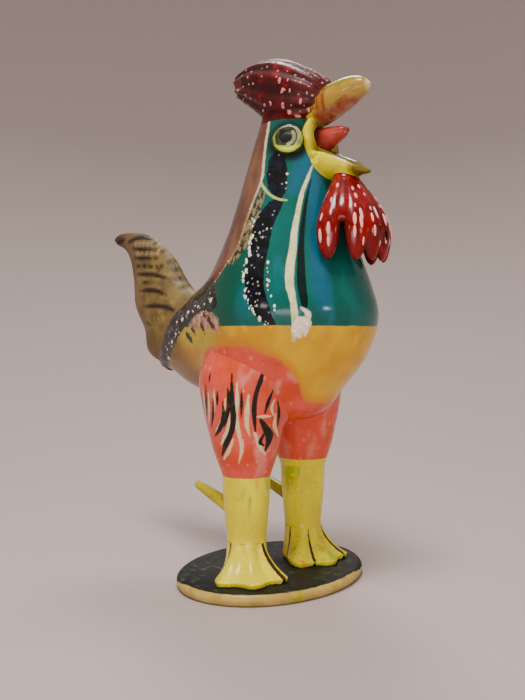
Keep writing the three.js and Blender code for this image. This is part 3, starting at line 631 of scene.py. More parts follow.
for name, side in sides:
    thigh_rings = []
    for height in np.linspace(knee_height - 0.1, haunch_top, 130):
        grown = (height - knee_height) / (haunch_height - knee_height)
        swell = min(max(grown, 0), 1)
        radius = float(thigh_radius(height))
        thigh_rings.append(level_hoop(leg_forward - haunch_set_back * swell, side * (leg_spacing / 2 - grown),
                                      height, radius + haunch_lengthening * swell, radius, 240))
    thigh = make(f"thigh_{name}", skin_over(thigh_rings))
    form = forms[f"thigh_{name}"]

    def on_thigh(turn, height):
        """The place at a turn and a height. The left thigh has the strokes mirrored and moved round."""
        way = out_at(turn if side < 0 else left_thigh_shift - turn)
        return form.meet((1.5, side * 28, height), way)[0]

    for kind, feathers in (("black_feathers", black_feathers), ("cream_feathers", cream_feathers)):
        strokes = [(curve([on_thigh(*spot) for spot in spots], 18), [1.2 * w for w in widths])
                   for spots, widths in feathers]
        layer(thigh, kind, off_strokes(form.points, strokes, 4.0))
    shade = new_glaze(thigh, f"thigh_glaze_{name}")
    tone = coral_tone(shade)
    if name == "left":
        tone = (shade.mottle(24).between(0.3, 0.6) * 0.3).over(tone, "#c4603c")
        knee = shade.height().below(left_knee_paint - 0.3, left_knee_paint + 0.3)
        tone = knee.over(tone, "#d8cc12")
    cream = brushed(shade, "cream_feathers", 0.3, 0.8)
    black = brushed(shade, "black_feathers", 0.3, 0.8)
    tone = (cream * shade.mottle(4).between(0.2, 0.5, 0.55, 0.95)).over(tone, "#d9c9a6")
    tone = (black * shade.mottle(5).between(0.15, 0.45, 0.75, 1.0)).over(tone, "#15150f")
    fire(shade, tone, 0.11 + 0.1 * shade.mottle(9), cream.most(black))


# Body: the thrown belly and breast shells, lapped at the girth and glazed over as one skin. The
# rump is drawn out behind to the slanted face that carries the tail. Above the girth it is teal
# with painted bands, below it mustard that runs into the coral of the legs.
body_forward = 16.4
belly_bottom, head_top = 103, 315
girth_border, crown_line = 164.6, 293.8
rump_front, rump_top = -30, 226
body_radius = smooth_through([(belly_bottom, 0.5), (109, 19.84), (123, 32), (145, 48.5), (171, 56.3),
                              (190.5, 52.35), (210, 45.6), (250, 33.4), (287, 22.6), (303, 17.5),
                              (309, 13.65), (head_top, 0.5)])
rump_reach = smooth_through([(belly_bottom, 0.5), (112.5, 37.8), (122, 84), (133.5, 108.6), (145, 128),
                             (164.5, 128), (184, 89), (196.6, float(body_radius(196.6)) + 13.9),
                             (210, float(body_radius(210)) + 7.1), (rump_top, float(body_radius(rump_top)))])
tail_seat = np.array([-80.0, 0, 161])
tail_seat_slope = math.radians(40.6)
beyond_seat = np.array([-math.cos(tail_seat_slope), 0, math.sin(tail_seat_slope)])
seat_rounding = 1.2
body_rings, body_sides = 276, 316
unevenness, glaze_inset = 0.3, 0.25


def wobble(points, amount, span, seed):
    """A smooth hand-made unevenness, as a distance for each point."""
    waves = np.random.default_rng(seed)
    total = np.zeros(len(points))
    for _ in range(7):
        way = waves.normal(size=3)
        total += np.sin(points @ (way / np.linalg.norm(way)) * 2 * math.pi / span * waves.uniform(0.7, 1.4)
                        + waves.uniform(0, 6.3))
    return amount * total / 4


def body_ring(height, count):
    turns = round_turns(count)
    radius = max(float(body_radius(height)), 0.4)
    reach = float(rump_reach(height)) if height < rump_top else 0.0
    drawn = max(reach - radius, 0)
    back = np.maximum(-np.cos(turns), 0)
    narrowing = 1 - 0.3 * back**2 * drawn / (drawn + radius)
    return np.stack([body_forward + radius * np.cos(turns) - drawn * back**3,
                     radius * np.sin(turns) * narrowing, np.full(count, height)], -1)


share = np.linspace(0, 1, body_rings)
eased = 0.45 * share + 0.55 * (1 - np.cos(math.pi * share)) / 2
body_form = skin_over([body_ring(height, body_sides)
                       for height in belly_bottom + (head_top - belly_bottom) * eased])
points = body_form.points
past = (points - tail_seat) @ beyond_seat
rump = points[:, 0] < rump_front
past_seat = np.logaddexp(0, -past[rump] / seat_rounding) * seat_rounding + past[rump]
points[rump] -= beyond_seat * past_seat[:, None]
axis_way = (points - [body_forward, 0, 0]) * [1, 1, 0]
axis_way /= np.maximum(np.linalg.norm(axis_way, axis=1), 1)[:, None]
points += axis_way * (wobble(points, unevenness, 60, 5) - glaze_inset)[:, None]
body_form = Form(points, body_form.faces)


def on_body(turn, height):
    return body_form.meet((body_forward, 0, height), out_at(turn))[0]


def body_line(spots):
    return curve([on_body(*spot) for spot in spots], 40)


def body_stroke(spots, half_widths):
    return body_line(spots), half_widths


# The painted bands of the right side, as places of a turn and a height; the left side mirrors them
cream_line = body_stroke([(-25, 263.5), (-33, 255), (-41, 244.6), (-45, 234.4), (-48.8, 221.4),
                          (-50.2, 210.7), (-52.3, 199), (-52.4, 187.7), (-50.5, 180), (-49.4, 170.7),
                          (-49, 161.5), (-50, 156)],
                         [0.5, 1.0, 1.3, 1.5, 1.9, 2.2, 2.6, 2.5, 1.9, 2.0, 2.3, 1.2])
black_line = body_stroke([(-29, 254.5), (-35.9, 242.8), (-40.2, 230.6), (-43.3, 217), (-44.6, 202),
                          (-44.8, 187.7), (-43.6, 178), (-43.8, 173)],
                         [0.3, 0.8, 1.2, 1.6, 2.3, 2.7, 2.2, 1.0])
# The swirl at the foot of the cream line also paints the lamp's glint on the girth there.
white_swirl_and_glint = [body_stroke([(-45.3, 175), (-41.4, 171.5), (-40.6, 168)], [0.8, 1.6, 0.6]),
               body_stroke([(-41.5, 165.5), (-45.2, 166), (-48, 161), (-46, 158)], [2.4, 3.9, 3.0, 1.0]),
               body_stroke([(-42.5, 162.5), (-43.2, 158.5)], [1.9, 0.8])]
neck_band = [body_stroke([(-70, 267), (-68.5, 259), (-67, 252), (-64.5, 246)], [5.5, 6.6, 6.2, 4.0]),
             body_stroke([(-63, 240.5), (-68, 236.5), (-74, 230), (-76.7, 222), (-77.4, 212), (-77.8, 202),
                          (-77, 192.6), (-74.2, 183), (-70.5, 175.5), (-66.5, 169.5), (-62.5, 165.2)],
                         [2.5, 4.8, 6.2, 6.6, 6.6, 6.6, 6.3, 6.0, 5.2, 4.0, 1.8])]
grey_band = [body_stroke([(-83, 246), (-87, 235.5), (-90.3, 227), (-93, 220), (-97.3, 213), (-102, 206)],
                         [2.4, 4.2, 4.8, 5.4, 6.0, 4.0])]
eye_arc = [body_stroke([(-88, 253.5), (-81, 249), (-73, 244.5), (-63, 241.3), (-55.5, 240.6)],
                       [1.1, 0.9, 0.8, 0.8, 0.5])]
neck_blue = [body_stroke([(-22, 256), (-28, 240), (-30, 226), (-31.5, 208), (-32, 192), (-31, 176)],
                         [4.0, 4.0, 4.3, 4.6, 4.6, 3.5]),
             body_stroke([(-33, 270), (-41, 259), (-48, 248)], [3.5, 4.0, 2.5])]
saddle_patch = [body_stroke([(-141, 165), (-130, 168.5), (-118.5, 168), (-107.5, 165.5)],
                            [3.0, 5.0, 5.6, 3.6])]
saddle_marks = [body_stroke([(-147.5, 159.5), (-145, 156)], [2.5, 2.2]),
                body_stroke([(-140.5, 163), (-139, 161)], [2.1, 1.8]),
                body_stroke([(-128, 165), (-125.5, 161.5)], [2.3, 1.6]),
                body_stroke([(-116.5, 169), (-114, 165)], [2.4, 1.8]),
                body_stroke([(-111.5, 165), (-110, 163)], [1.8, 1.2]),
                body_stroke([(-123, 172), (-121, 170)], [1.8, 1.3])]
spine_edge = smooth_through([(150, 134), (188.7, 121.5), (196.5, 113.5), (204.8, 106.7), (213.4, 99.2),
                             (228.3, 96.1), (242.3, 91.9), (256.1, 87), (271.4, 90.2), (284.1, 93),
                             (head_top, 96)])
coral_edge = smooth_through([(0, 116.5), (12, 117.4), (28.7, 118), (40, 123.6), (48.4, 134), (58.7, 143.6),
                             (66, 147), (74, 149.7), (84, 151.4), (99, 152), (118, 152), (130, 149.5),
                             (137, 138), (142, 118), (180, 92)])


def bead(place, normal, way, length, width, height, count=10):
    """The points and faces of a low drop of enamel that sits on a surface."""
    normal = normal / np.linalg.norm(normal)
    way = way - normal * (way @ normal)
    way = way / max(np.linalg.norm(way), 1e-6)
    across = np.cross(normal, way)
    rings = [hoop(place + normal * height * up, out * way * length, out * across * width, count)
             for out, up in ((1.0, -0.4), (0.97, 0.15), (0.8, 0.6), (0.45, 0.92))]
    points = np.vstack(rings + [place + normal * height])
    faces = wall_faces(len(rings), count)
    faces += [(3 * count + i, 3 * count + (i + 1) % count, 4 * count) for i in range(count)]
    faces += [tuple(reversed(range(count)))]
    return points, faces


def bead_row(form, path, gap, size, spread, seed, raised=1.0, stretch=1.0, way=(0, 0, 1), missed=0.0):
    """Beads of enamel along a path, set down by hand: a little off the line, of uneven size, and a
    share of them missed out."""
    hand = np.random.default_rng(seed)
    path = np.asarray(path, float)
    run = np.concatenate([[0], np.cumsum(np.linalg.norm(np.diff(path, axis=0), axis=1))])
    for station in np.arange(gap / 2, run[-1], gap):
        if hand.uniform() < missed:
            continue
        station = station + hand.uniform(-0.25, 0.25) * gap
        spot = np.array([np.interp(station, run, path[:, k]) for k in range(3)])
        spot = spot + hand.uniform(-spread, spread, 3)
        place, normal, _, _ = form.tree.find_nearest(Vector(spot))
        radius = size * hand.uniform(0.55, 1.35)
        form.add(*bead(np.array(place), np.array(normal), np.array(way, float), radius * stretch, radius,
                       radius * 0.55), raised)


band_edges = [body_line([(-88, 232), (-86.5, 222), (-85.5, 212), (-85.5, 202), (-84.5, 192), (-81.5, 183),
                         (-77, 176), (-71.5, 169.5), (-67, 165.6)]),
              body_line([(-67.5, 203), (-67, 194), (-66, 186), (-63.5, 178), (-60.5, 171), (-58, 166.5)]),
              body_line([(-57, 262), (-56, 254), (-58, 246)]),
              body_line([(-75, 226), (-77, 212), (-77, 198), (-74, 186), (-69, 175)])]
spine_dots = body_line([(-93, 240), (-96, 229), (-99, 214), (-106.5, 205), (-113, 197), (-121, 190)])
collar_line = body_line([(-112, 181.5), (-127.8, 177), (-142.8, 177.5), (-153, 171), (-158, 161),
                         (-165.5, 150.7), (-170, 142)])
for mirror in (1, -1):
    flip = np.array([1, mirror, 1])
    back_edge, front_edge, cheek_edge, middle = [edge * flip for edge in band_edges]
    bead_row(body_form, back_edge, 2.3, 0.85, 1.0, 11 + mirror, stretch=1.6, missed=0.22)
    bead_row(body_form, back_edge, 2.6, 0.55, 2.4, 15 + mirror, raised=0.7, missed=0.35)
    bead_row(body_form, front_edge, 3.0, 0.72, 0.9, 21 + mirror, stretch=1.4, missed=0.3)
    bead_row(body_form, cheek_edge, 4.0, 0.7, 1.0, 31 + mirror, missed=0.2)
    bead_row(body_form, middle, 3.0, 0.6, 2.6, 41 + mirror, raised=0.5, stretch=1.3, missed=0.45)
    bead_row(body_form, spine_dots * flip, 3.4, 0.6, 0.9, 51 + mirror, raised=0.6, missed=0.3)
    bead_row(body_form, collar_line * flip, 9.0, 1.25, 2.6, 61 + mirror, raised=0.8)
    bead_row(body_form, collar_line * flip, 3.2, 0.62, 5.2, 71 + mirror, raised=0.5, missed=0.25)
    # White beads along the swirl, part of its painted glint.
    bead_row(body_form, white_swirl_and_glint[1][0] * flip, 1.6, 0.9, 2.2, 81 + mirror)

body = make("body", body_form, ["belly_shell", "breast_shell"])
points = body_form.points
right_side = np.where([False, True, False], -np.abs(points), points)
turns = np.degrees(np.arctan2(np.abs(points[:, 1]), points[:, 0] - body_forward))
reach_out = np.hypot(points[:, 1], points[:, 0] - body_forward)
heights = points[:, 2]
for name, strokes in (("cream_line", [cream_line]), ("black_line", [black_line]),
                      ("white_swirl_and_glint", white_swirl_and_glint), ("neck_band", neck_band), ("grey_band", grey_band),
                      ("eye_arc", eye_arc)):
    layer(body, name, off_strokes(right_side, strokes))
for name, strokes, reach in (("neck_blue", neck_blue, 14), ("saddle_patch", saddle_patch, 12),
                             ("saddle_marks", saddle_marks, 5)):
    layer(body, name, off_strokes(right_side, strokes, reach, soft=True))
layer(body, "raised", body_form.raised)
layer(body, "turn", turns)
layer(body, "spine", (spine_edge(heights) - turns) * np.radians(reach_out))
layer(body, "coral", heights - coral_edge(turns))
# The dark collar lies before the seat of the tail, between two edges that both wander up the seat
collar_ceiling, far_off = 196, 12
before_seat = (tail_seat - points) @ beyond_seat
up_the_seat = (points - tail_seat) @ np.array([math.sin(tail_seat_slope), 0, math.cos(tail_seat_slope)])
collar_back = np.interp(up_the_seat, [-32, -15, 5, 17, 30, 45, 54, 68], [0, 0.8, 1.5, 2.8, 4.5, 8, 12, 18])
collar_front = np.interp(up_the_seat, [-34, -28, -9, 4, 14, 25, 33, 42, 50, 60, 66, 73],
                         [0, 9, 14, 18, 21, 24.5, 28, 32, 38, 50, 51, 22])
in_collar = np.maximum(collar_back - before_seat, before_seat - collar_front)
layer(body, "tail_collar", np.where(heights > collar_ceiling, far_off, in_collar))
layer(body, "tail_root", np.where(heights > collar_ceiling, far_off, before_seat - collar_back))
eye_turn, eye_height, eye_radius = 56, 279.5, 10
throat_height, throat_radius = 281, 9.5
layer(body, "eye_ground", np.linalg.norm(right_side - on_body(-eye_turn, eye_height), axis=1) - eye_radius)
from_throat = (right_side - on_body(0, throat_height)) * [1, 1, 0.75]
layer(body, "throat", np.linalg.norm(from_throat, axis=1) - throat_radius)


def beads_over(shade, tone, pigment):
    """The tone with the enamel of the raised beads, as strong as each row of them is laid on."""
    raised = shade.value("raised")
    return (raised.between(0.02, 0.04) * raised).over(tone, pigment)


shade = new_glaze(body, "body_glaze")
height = shade.height()
turn = shade.value("turn")
teal = shade.mottle(30, 3.0, (1, 1, 2.2)).between(0.34, 0.66).over("#0f4d44", "#185e58")
teal = shade.mottle(12, 2.0, (1, 1, 4), 1.9).between(0.52, 0.74).over(teal, "#22646a")
teal = (turn.between(62, 108) * 0.85).over(teal, "#0c4436")
teal = shade.value("neck_blue").below(-3.0, 4.0, 0.85).over(teal, "#365a70")
olive_dusk = shade.value("grey_band").wavering(3, 1.5).below(-1.0, 1.0, 0.9)
olive_tone = shade.mottle(2.6, 2, (1, 1, 1.8)).between(0.44, 0.56).over("#2b2f26", "#85795f")
teal = olive_dusk.over(teal, olive_tone)
head_dusk = shade.value("eye_ground").below(1.5, 6.5, 0.9)
teal = head_dusk.over(teal, "#14201a")
band = brushed(shade, "neck_band", 0.4, 1.6, 2.6)
band_tone = shade.mottle(4, 2.0).between(0.45, 0.6).over("#0a0c0c", "#151722")
band_tone = (shade.flecks(3.8, 0.2) * 0.6).over(band_tone, "#9a9f92")
upper = band.over(teal, band_tone)
arc = brushed(shade, "eye_arc", 0.3, 0.6)
upper = (arc * 0.85).over(upper, "#b9c07e")
spine = shade.value("spine").wavering(5, 0.8).below(-0.5, 0.5)
spine = spine * (height.wavering(9, 14) - turn.between(134, 180) * 10).between(172, 190)
brown = shade.mottle(14, 3.0, (1, 1, 4)).between(0.35, 0.65).over("#785b4c", "#5c433b")
brown = (height.below(193, 212) * 0.8).over(brown, "#5f2b2a")
upper = spine.over(upper, brown)
edge_line = shade.maths("ABSOLUTE", shade.value("spine") + 0.1).wavering(2.6, 1.6)
edge_line = edge_line.below(0.7, 1.4) * height.between(190, 262, 0.35, 1.0)
upper = edge_line.over(upper, height.between(225, 262).over("#a98c6c", "#cbb9a0"))
black = brushed(shade, "black_line", 0.35, 0.8)
upper = (black * 0.96).over(upper, "#0d1512")
mustard = shade.mottle(24, 3.0, (1, 1, 1.6)).between(0.34, 0.66).over("#d0a80e", "#c09208")
mustard = shade.mottle(12, 2.0, (1, 1, 2), 5.1).between(0.56, 0.74).over(mustard, "#d8b022")
mustard = (turn.between(80, 128) * 0.6).over(mustard, "#a87c10")
mustard = (turn.between(146, 164) * 0.85).over(mustard, "#5c4313")
mustard = shade.value("coral").below(0.5, 9.0, 0.65).over(mustard, "#c67e1c")
leaf = turn.between(108, 122) * turn.below(150, 158) * height.wavering(6, 8).between(148, 154)
leaf_tone = shade.mottle(5).between(0.4, 0.6).over("#a3a32c", "#c2a822")
mustard = (leaf * 0.85).over(mustard, leaf_tone)
coral_mask = shade.value("coral").wavering(9, 5).below(-2.2, 2.2)
lower = coral_mask.over(mustard, coral_tone(shade))
border = height.wavering(8, 1.4).between(girth_border - 0.4, girth_border + 0.4)
tone = border.over(lower, upper)
saddle = shade.value("saddle_patch").wavering(5, 3).below(-1.6, 1.6)
saddle_tone = shade.mottle(5, 2.0).between(0.42, 0.6).over("#c2a08c", "#9c7462")
tone = saddle.over(tone, saddle_tone)
tone = brushed(shade, "saddle_marks", 0.4, 0.8).over(tone, "#33241c")
root = shade.value("tail_root").wavering(3, 1.6).below(-0.6, 0.6)
tone = root.over(tone, shade.mottle(9, 2.0).between(0.4, 0.65).over("#8f7a52", "#75603c"))
collar = shade.value("tail_collar").wavering(4, 6).below(-0.7, 0.7)
collar_tone = shade.mottle(6, 2.0).between(0.42, 0.6).over("#100f12", "#24281c")
collar_tone = shade.mottle(5, 2.0, shift=8.2).between(0.56, 0.7).over(collar_tone, "#4a4354")
tone = collar.over(tone, (shade.flecks(4.0, 0.22) * 0.5).over(collar_tone, "#8d8a80"))
cream = brushed(shade, "cream_line", 0.4, 0.7)
tone = cream.over(tone, shade.mottle(8, 2).between(0.35, 0.62).over("#e3dfc0", "#c9c79a"))
# The white swirl, partly painted highlight: it also stands for the lamp's glint on the girth.
swirl_and_glint = brushed(shade, "white_swirl_and_glint", 0.6, 1.6, 2.5)
tone = (swirl_and_glint * 0.92).over(tone, "#efe6d6")
throat = shade.value("throat").below(-1.0, 1.0)
tone = throat.over(tone, "#5e1f1c")
crown = height.wavering(7, 2).between(crown_line - 0.4, crown_line + 0.4)
tone = crown.over(tone, shade.mottle(10, 3.0).between(0.36, 0.64).over("#420d15", "#310a10"))
tone = beads_over(shade, tone, "#efe9dc")
fire(shade, tone, 0.09 + 0.1 * shade.mottle(10), band + cream * 1.6 + black + swirl_and_glint * 1.5 + edge_line)


# Tail: a flattened plume of clay that sweeps up and back from the slanted face of the rump. It
# is straw coloured, with rows of black brush strokes across it and dots down its front edge.
def middle_loft(stations, rings, sides, roundness=1.0, flutes=0, flute_depth=0.0):
    """A form lofted in the bird's middle plane. A station gives the upper and the lower edge as
    a place forward and a height, and the half width."""
    upper = curve([(s[0][0], 0, s[0][1]) for s in stations], rings)
    lower = curve([(s[1][0], 0, s[1][1]) for s in stations], rings)
    half = curve([(i, s[2], 0) for i, s in enumerate(stations)], rings)[:, 1]
    turns = round_turns(sides)
    c = np.sign(np.cos(turns)) * np.abs(np.cos(turns)) ** roundness
    s = np.sign(np.sin(turns)) * np.abs(np.sin(turns)) ** roundness
    middle = (upper + lower) / 2
    depth = np.linalg.norm(upper - middle, axis=1)
    reach = (upper - middle) / depth[:, None]
    fluted = 1 - (flute_depth / depth)[:, None] * np.cos(flutes * turns) ** 2
    loft = middle[:, None] + reach[:, None] * (depth[:, None] * c * fluted)[..., None]
    loft[..., 1] += half[:, None] * s * fluted
    return loft


def stations(at, half_width, rows):
    """Stations for a loft. A row gives the shares of the upper edge's place, those of the lower edge's
    place and the share of the half width."""
    return [(at(*row[:2]), at(*row[2:4]), half_width * row[4]) for row in rows]


def side_layer(name, layer_name, strokes, count=16, dots=()):
    """A layer of soft strokes on a piece, as places forward and heights seen from the side. The dots
    are short straight strokes, and the only ones that aren't laid on a little wider."""
    drawn = [(curve([(x, 0, z) for x, z in path], count), [width + 0.5 for width in widths])
             for path, widths in strokes]
    drawn += [([(x, 0, z) for x, z in path], widths) for path, widths in dots]
    layer(pieces[name], layer_name, off_strokes(forms[name].points * [1, 0, 1], drawn, 4, soft=True))


tail_rise, tail_sweep = 78, 82
tail_root_half_height, tail_root_rise, tail_root_half_width, tail_plume_half_width = 35, 3, 17, 8
tail_rings, tail_sides, rings_in_rump = 250, 200, 17


def seat_edge(half, inside):
    return (tail_seat[0] + math.sin(tail_seat_slope) * half + math.cos(tail_seat_slope) * inside,
            tail_seat[2] + math.cos(tail_seat_slope) * half - math.sin(tail_seat_slope) * inside)


def tail_at(back, up):
    return tail_seat[0] - back * tail_sweep, tail_seat[2] + up * tail_rise


root_top, root_bottom = tail_root_rise + tail_root_half_height, tail_root_rise - tail_root_half_height
tail_stations = [(seat_edge(root_top, inside), seat_edge(root_bottom, inside), tail_root_half_width)
                 for inside in (12, 0)]
tail_stations += stations(tail_at, tail_root_half_width, [
    (-0.1, 0.375, 0.45, -0.2, 0.96), (0.03, 0.49, 0.5, -0.01, 0.84), (0.17, 0.695, 0.66, 0.25, 0.64)])
tail_stations += stations(tail_at, tail_plume_half_width, [
    (0.31, 0.83, 0.7, 0.52, 1), (0.5, 0.955, 0.765, 0.75, 0.85), (0.74, 1, 0.855, 0.845, 0.62),
    (0.93, 0.995, 0.95, 0.89, 0.42), (0.995, 0.965, 0.99, 0.925, 0.2)])
tail_form = skin_over(middle_loft(tail_stations, tail_rings, tail_sides)[rings_in_rump:])
tail = make("tail", tail_form)
# Strokes as places forward and heights, seen from the side
tail_strokes = [
    ([(-156, 231.5), (-150, 233), (-146, 233)], [1.0, 1.6, 0.8]),
    ([(-139, 231), (-128, 233.4), (-116, 231.5)], [0.8, 1.9, 0.8]),
    ([(-132, 225.5), (-122, 224), (-109, 223)], [0.5, 1.2, 0.5]),
    ([(-130, 218.5), (-121, 217.6), (-110, 217)], [0.5, 1.3, 0.5]),
    ([(-127, 212), (-124, 211.6)], [0.8, 0.8]),
    ([(-119, 211.4), (-117, 211)], [0.8, 0.8]),
    ([(-112, 210.6), (-109, 210.2)], [0.8, 0.9]),
    ([(-104, 209.8), (-101, 208)], [0.7, 0.8]),
    ([(-126, 205.6), (-114, 204.8), (-103, 203.6), (-93, 201)], [0.5, 1.4, 1.2, 0.4]),
    ([(-120, 192.8), (-108, 192.6), (-97, 191), (-90, 188.4)], [0.5, 1.3, 1.1, 0.4]),
    ([(-118, 198.8), (-110, 198.6)], [0.3, 0.7, 0.3]),
    ([(-114, 180.6), (-100, 180.6), (-88, 179.6), (-79, 177)], [0.5, 1.4, 1.2, 0.4]),
    ([(-112, 169), (-104, 167)], [0.3, 0.7, 0.3]),
]
tail_dashes = [([(x, 233 - (x + 130) * 0.05), (x + 0.6, 227)], [0.5, 0.7, 0.3]) for x in range(-130, -108, 4)]
tail_dashes += [([(x, 222), (x + 0.4, 218.6)], [0.4, 0.6, 0.3]) for x in range(-127, -105, 5)]
edge_dots = [(-112, 229), (-103, 222), (-95, 214), (-89.5, 207.5), (-85, 201), (-80, 194), (-107, 217),
             (-100, 210)]
side_layer("tail", "black_strokes", tail_strokes,
           dots=[([(x, z), (x + 0.6, z - 0.8)], [1.5, 1.2]) for x, z in edge_dots])
side_layer("tail", "pale_dashes", tail_dashes, 6)
layer(tail, "along", (tail_form.points - tail_seat) @ beyond_seat)
rear = np.tile((1 - np.cos(round_turns(tail_sides))) / 2, tail_rings - rings_in_rump)
layer(tail, "rear", np.concatenate([rear, [0.5, 0.5]]))
shade = new_glaze(tail, "tail_glaze")
straw = shade.mottle(14, 3.0, (1, 1, 1)).between(0.35, 0.65).over("#766646", "#5a4c36")
straw = shade.mottle(8, 2.0, shift=4.4).between(0.56, 0.72).over(straw, "#84744f")
straw = (shade.value("rear").between(0.62, 0.98) * 0.7).over(straw, "#6f564c")
straw = shade.value("along").below(2, 16, 0.5).over(straw, "#5f4e30")
straw = (shade.value("along").between(50, 90) * 0.5).over(straw, "#5a4640")
straw = (shade.value("along").between(90, 110) * 0.9).over(straw, "#36262a")
dashes = brushed(shade, "pale_dashes", 0.35, 0.5)
tone = (dashes * 0.55).over(straw, "#b3a27e")
strokes = brushed(shade, "black_strokes", 0.3, 0.3, 2.0)
tone = (strokes * 0.93).over(tone, "#1a140f")
tone = (shade.flecks(5, 0.12) * 0.5).over(tone, "#4c4230")
fire(shade, tone, 0.46 + 0.16 * shade.mottle(9), strokes + dashes)


# Comb: a thick crest that caps the head, fluted along its length and pinched at the back, glazed
# a dark crimson that pools in the flutes and dotted with raised pink enamel. Glaze and beads are
# both painted darker towards the back as painted shade.
comb_forward, comb_length, comb_height, comb_half_width = 31.5, 75, 42.5, 20.5
comb_bottom = head_top - 18
comb_flutes, flute_depth = 6, 1.25
comb_rings, comb_sides = 150, 288
comb_dot_rows, first_dot_ring, last_dot_ring = 22, 9, 136
bare_underside, long_dots_below = 40, 110


def comb_at(back, up):
    return body_forward + comb_forward - back * comb_length, comb_bottom + up * comb_height


comb_stations = stations(comb_at, comb_half_width, [
    (0.01, 0.34, 0.03, 0.04, 0.42), (0.04, 0.52, 0.13, -0.06, 0.72), (0.19, 0.73, 0.28, -0.13, 0.95),
    (0.44, 0.95, 0.47, -0.12, 1), (0.69, 1.01, 0.66, 0.1, 0.9), (0.87, 0.96, 0.82, 0.32, 0.72),
    (0.975, 0.88, 0.935, 0.46, 0.58), (0.995, 0.8, 0.98, 0.52, 0.4)])
comb_loft = middle_loft(comb_stations, comb_rings, comb_sides, 0.78, comb_flutes, flute_depth)
comb_form = skin_over(comb_loft)
groove = np.tile(np.cos(comb_flutes * round_turns(comb_sides)) ** 2, comb_rings)
comb_share = np.repeat(np.linspace(0, 1, comb_rings), comb_sides)
for row in range(comb_dot_rows):
    row_turn = 360 / comb_dot_rows * (row + 0.5)
    from_underside = abs(row_turn - 180)
    if from_underside < bare_underside:
        continue
    column = int(row_turn / 360 * comb_sides)
    path = comb_loft[first_dot_ring * (1 + row % 2):last_dot_ring, column]
    bead_row(comb_form, path, 7.6, 0.8, 1.5, 100 + row, raised=0.8, stretch=1.15, way=(1, 0, 0.2), missed=0.1)
    if from_underside < long_dots_below:
        bead_row(comb_form, path[6:44], 9.0, 0.95, 1.4, 130 + row, stretch=1.8, way=(0.2, 0, 1))
comb = make("comb", comb_form)
layer(comb, "raised", comb_form.raised)
extra = np.zeros(len(comb_form.points) - len(groove))
layer(comb, "groove", np.concatenate([groove, extra]))
layer(comb, "back", np.concatenate([comb_share, extra]))
# Three pale pink lines on the creases at the back of the comb: painted highlights.
side_layer("comb", "crease_highlights", [([comb_at(1.0, up), comb_at(0.93, up + 0.02), comb_at(0.84, up + 0.03)],
                                [0.5, 0.7, 0.3]) for up in (0.57, 0.66, 0.75)])
shade = new_glaze(comb, "comb_glaze")
tone = shade.mottle(13, 3.0).between(0.36, 0.64).over("#4e0f18", "#380b12")
tone = shade.mottle(7, 2.0, shift=6.2).between(0.54, 0.7).over(tone, "#7c1626")
# Darker towards the back of the comb: painted shade.
tone = (shade.value("back").between(0.32, 0.7) * 0.75).over(tone, "#2a1212")
tone = (shade.value("groove").between(0.55, 1.0) * 0.6).over(tone, "#1e080c")
crease_highlights = brushed(shade, "crease_highlights", 0.3, 0.5)
tone = (crease_highlights * 0.6).over(tone, "#8a5450")
# The beads dull from pink to tan towards the back: painted shade.
tone = beads_over(shade, tone, shade.value("back").between(0.3, 0.6).over("#cf8f8c", "#7c5c46"))
fire(shade, tone, 0.36 + 0.14 * shade.mottle(8))


# Beak: two horn-shaped halves open in a crow, with fleshy yellow rims at the corners of the mouth
# and a lifted tongue. The lower half is scooped out and brown inside.
beak_root, beak_reach, beak_half_width = 30, 47, 12
upper_root, upper_tip, upper_half_depth = 299, 310.5, 11
lower_root, lower_tip, lower_half_depth = 270, 257.5, 11.5
gape_radius = 3.6
rim_middle_height, rim_drop = 284.4, 7.2


def half_beak(root, tip, half_depth):
    """The finder of a place on one half of the beak, from shares of its reach and of its depth."""
    def place(share, up):
        return beak_root + share * beak_reach, root + share * (tip - root) + up * half_depth
    return place


upper_at = half_beak(upper_root, upper_tip, upper_half_depth)
lower_at = half_beak(lower_root, lower_tip, lower_half_depth)


def melt(lumps, grain, passes):
    """Overlapping forms pressed into one and smoothed, with a grain in millimetres."""
    points, faces = np.zeros((0, 3)), []
    for form in lumps:
        faces += [tuple(len(points) + i for i in face) for face in form.faces]
        points = np.vstack([points, form.points])
    lump = shape("clay", points.tolist(), faces)
    press = lump.modifiers.new("press", "REMESH")
    press.mode = "VOXEL"
    press.voxel_size = grain
    thumb = lump.modifiers.new("thumb", "SMOOTH")
    thumb.factor = 0.5
    thumb.iterations = passes
    return lift_off([lump])


upper_stations = stations(upper_at, beak_half_width, [
    (-0.12, 0.9, -0.12, -0.9, 0.9), (0.1, 1.02, 0.1, -1, 1), (0.4, 1.05, 0.4, -0.95, 0.92),
    (0.7, 0.92, 0.7, -0.72, 0.7), (0.91, 0.5, 0.91, -0.42, 0.4), (0.995, 0.08, 0.995, -0.18, 0.12)])
upper_beak = make("beak_upper", skin_over(middle_loft(upper_stations, 90, 90)))
upper_points = forms["beak_upper"].points
upper_share = (upper_points[:, 0] - beak_root) / beak_reach
upper_middle = upper_root + upper_share * (upper_tip - upper_root)
layer(upper_beak, "share", upper_share)
layer(upper_beak, "lift", (upper_points[:, 2] - upper_middle) / upper_half_depth)
root_stripes = [([(x, z + 9), (x - 0.6, z), (x + 0.4, z - 9)], [0.5, 0.9, 0.4])
                for x, z in ((42, 304), (45.5, 303), (49.5, 301.5))]
nick_marks = [([(58, 299.5), (60.2, 301)], [0.8, 0.5]), ([(62, 302), (63.6, 303)], [0.7, 0.4])]
side_layer("beak_upper", "stripes", root_stripes + nick_marks)
shade = new_glaze(upper_beak, "upper_beak_glaze")
lift = shade.value("lift").wavering(6, 0.25)
share = shade.value("share")
horn = shade.mottle(12, 3.0).between(0.35, 0.65).over("#a68a52", "#94784a")
horn = (share.below(0.1, 0.42) * 0.85).over(horn, "#cdb824")
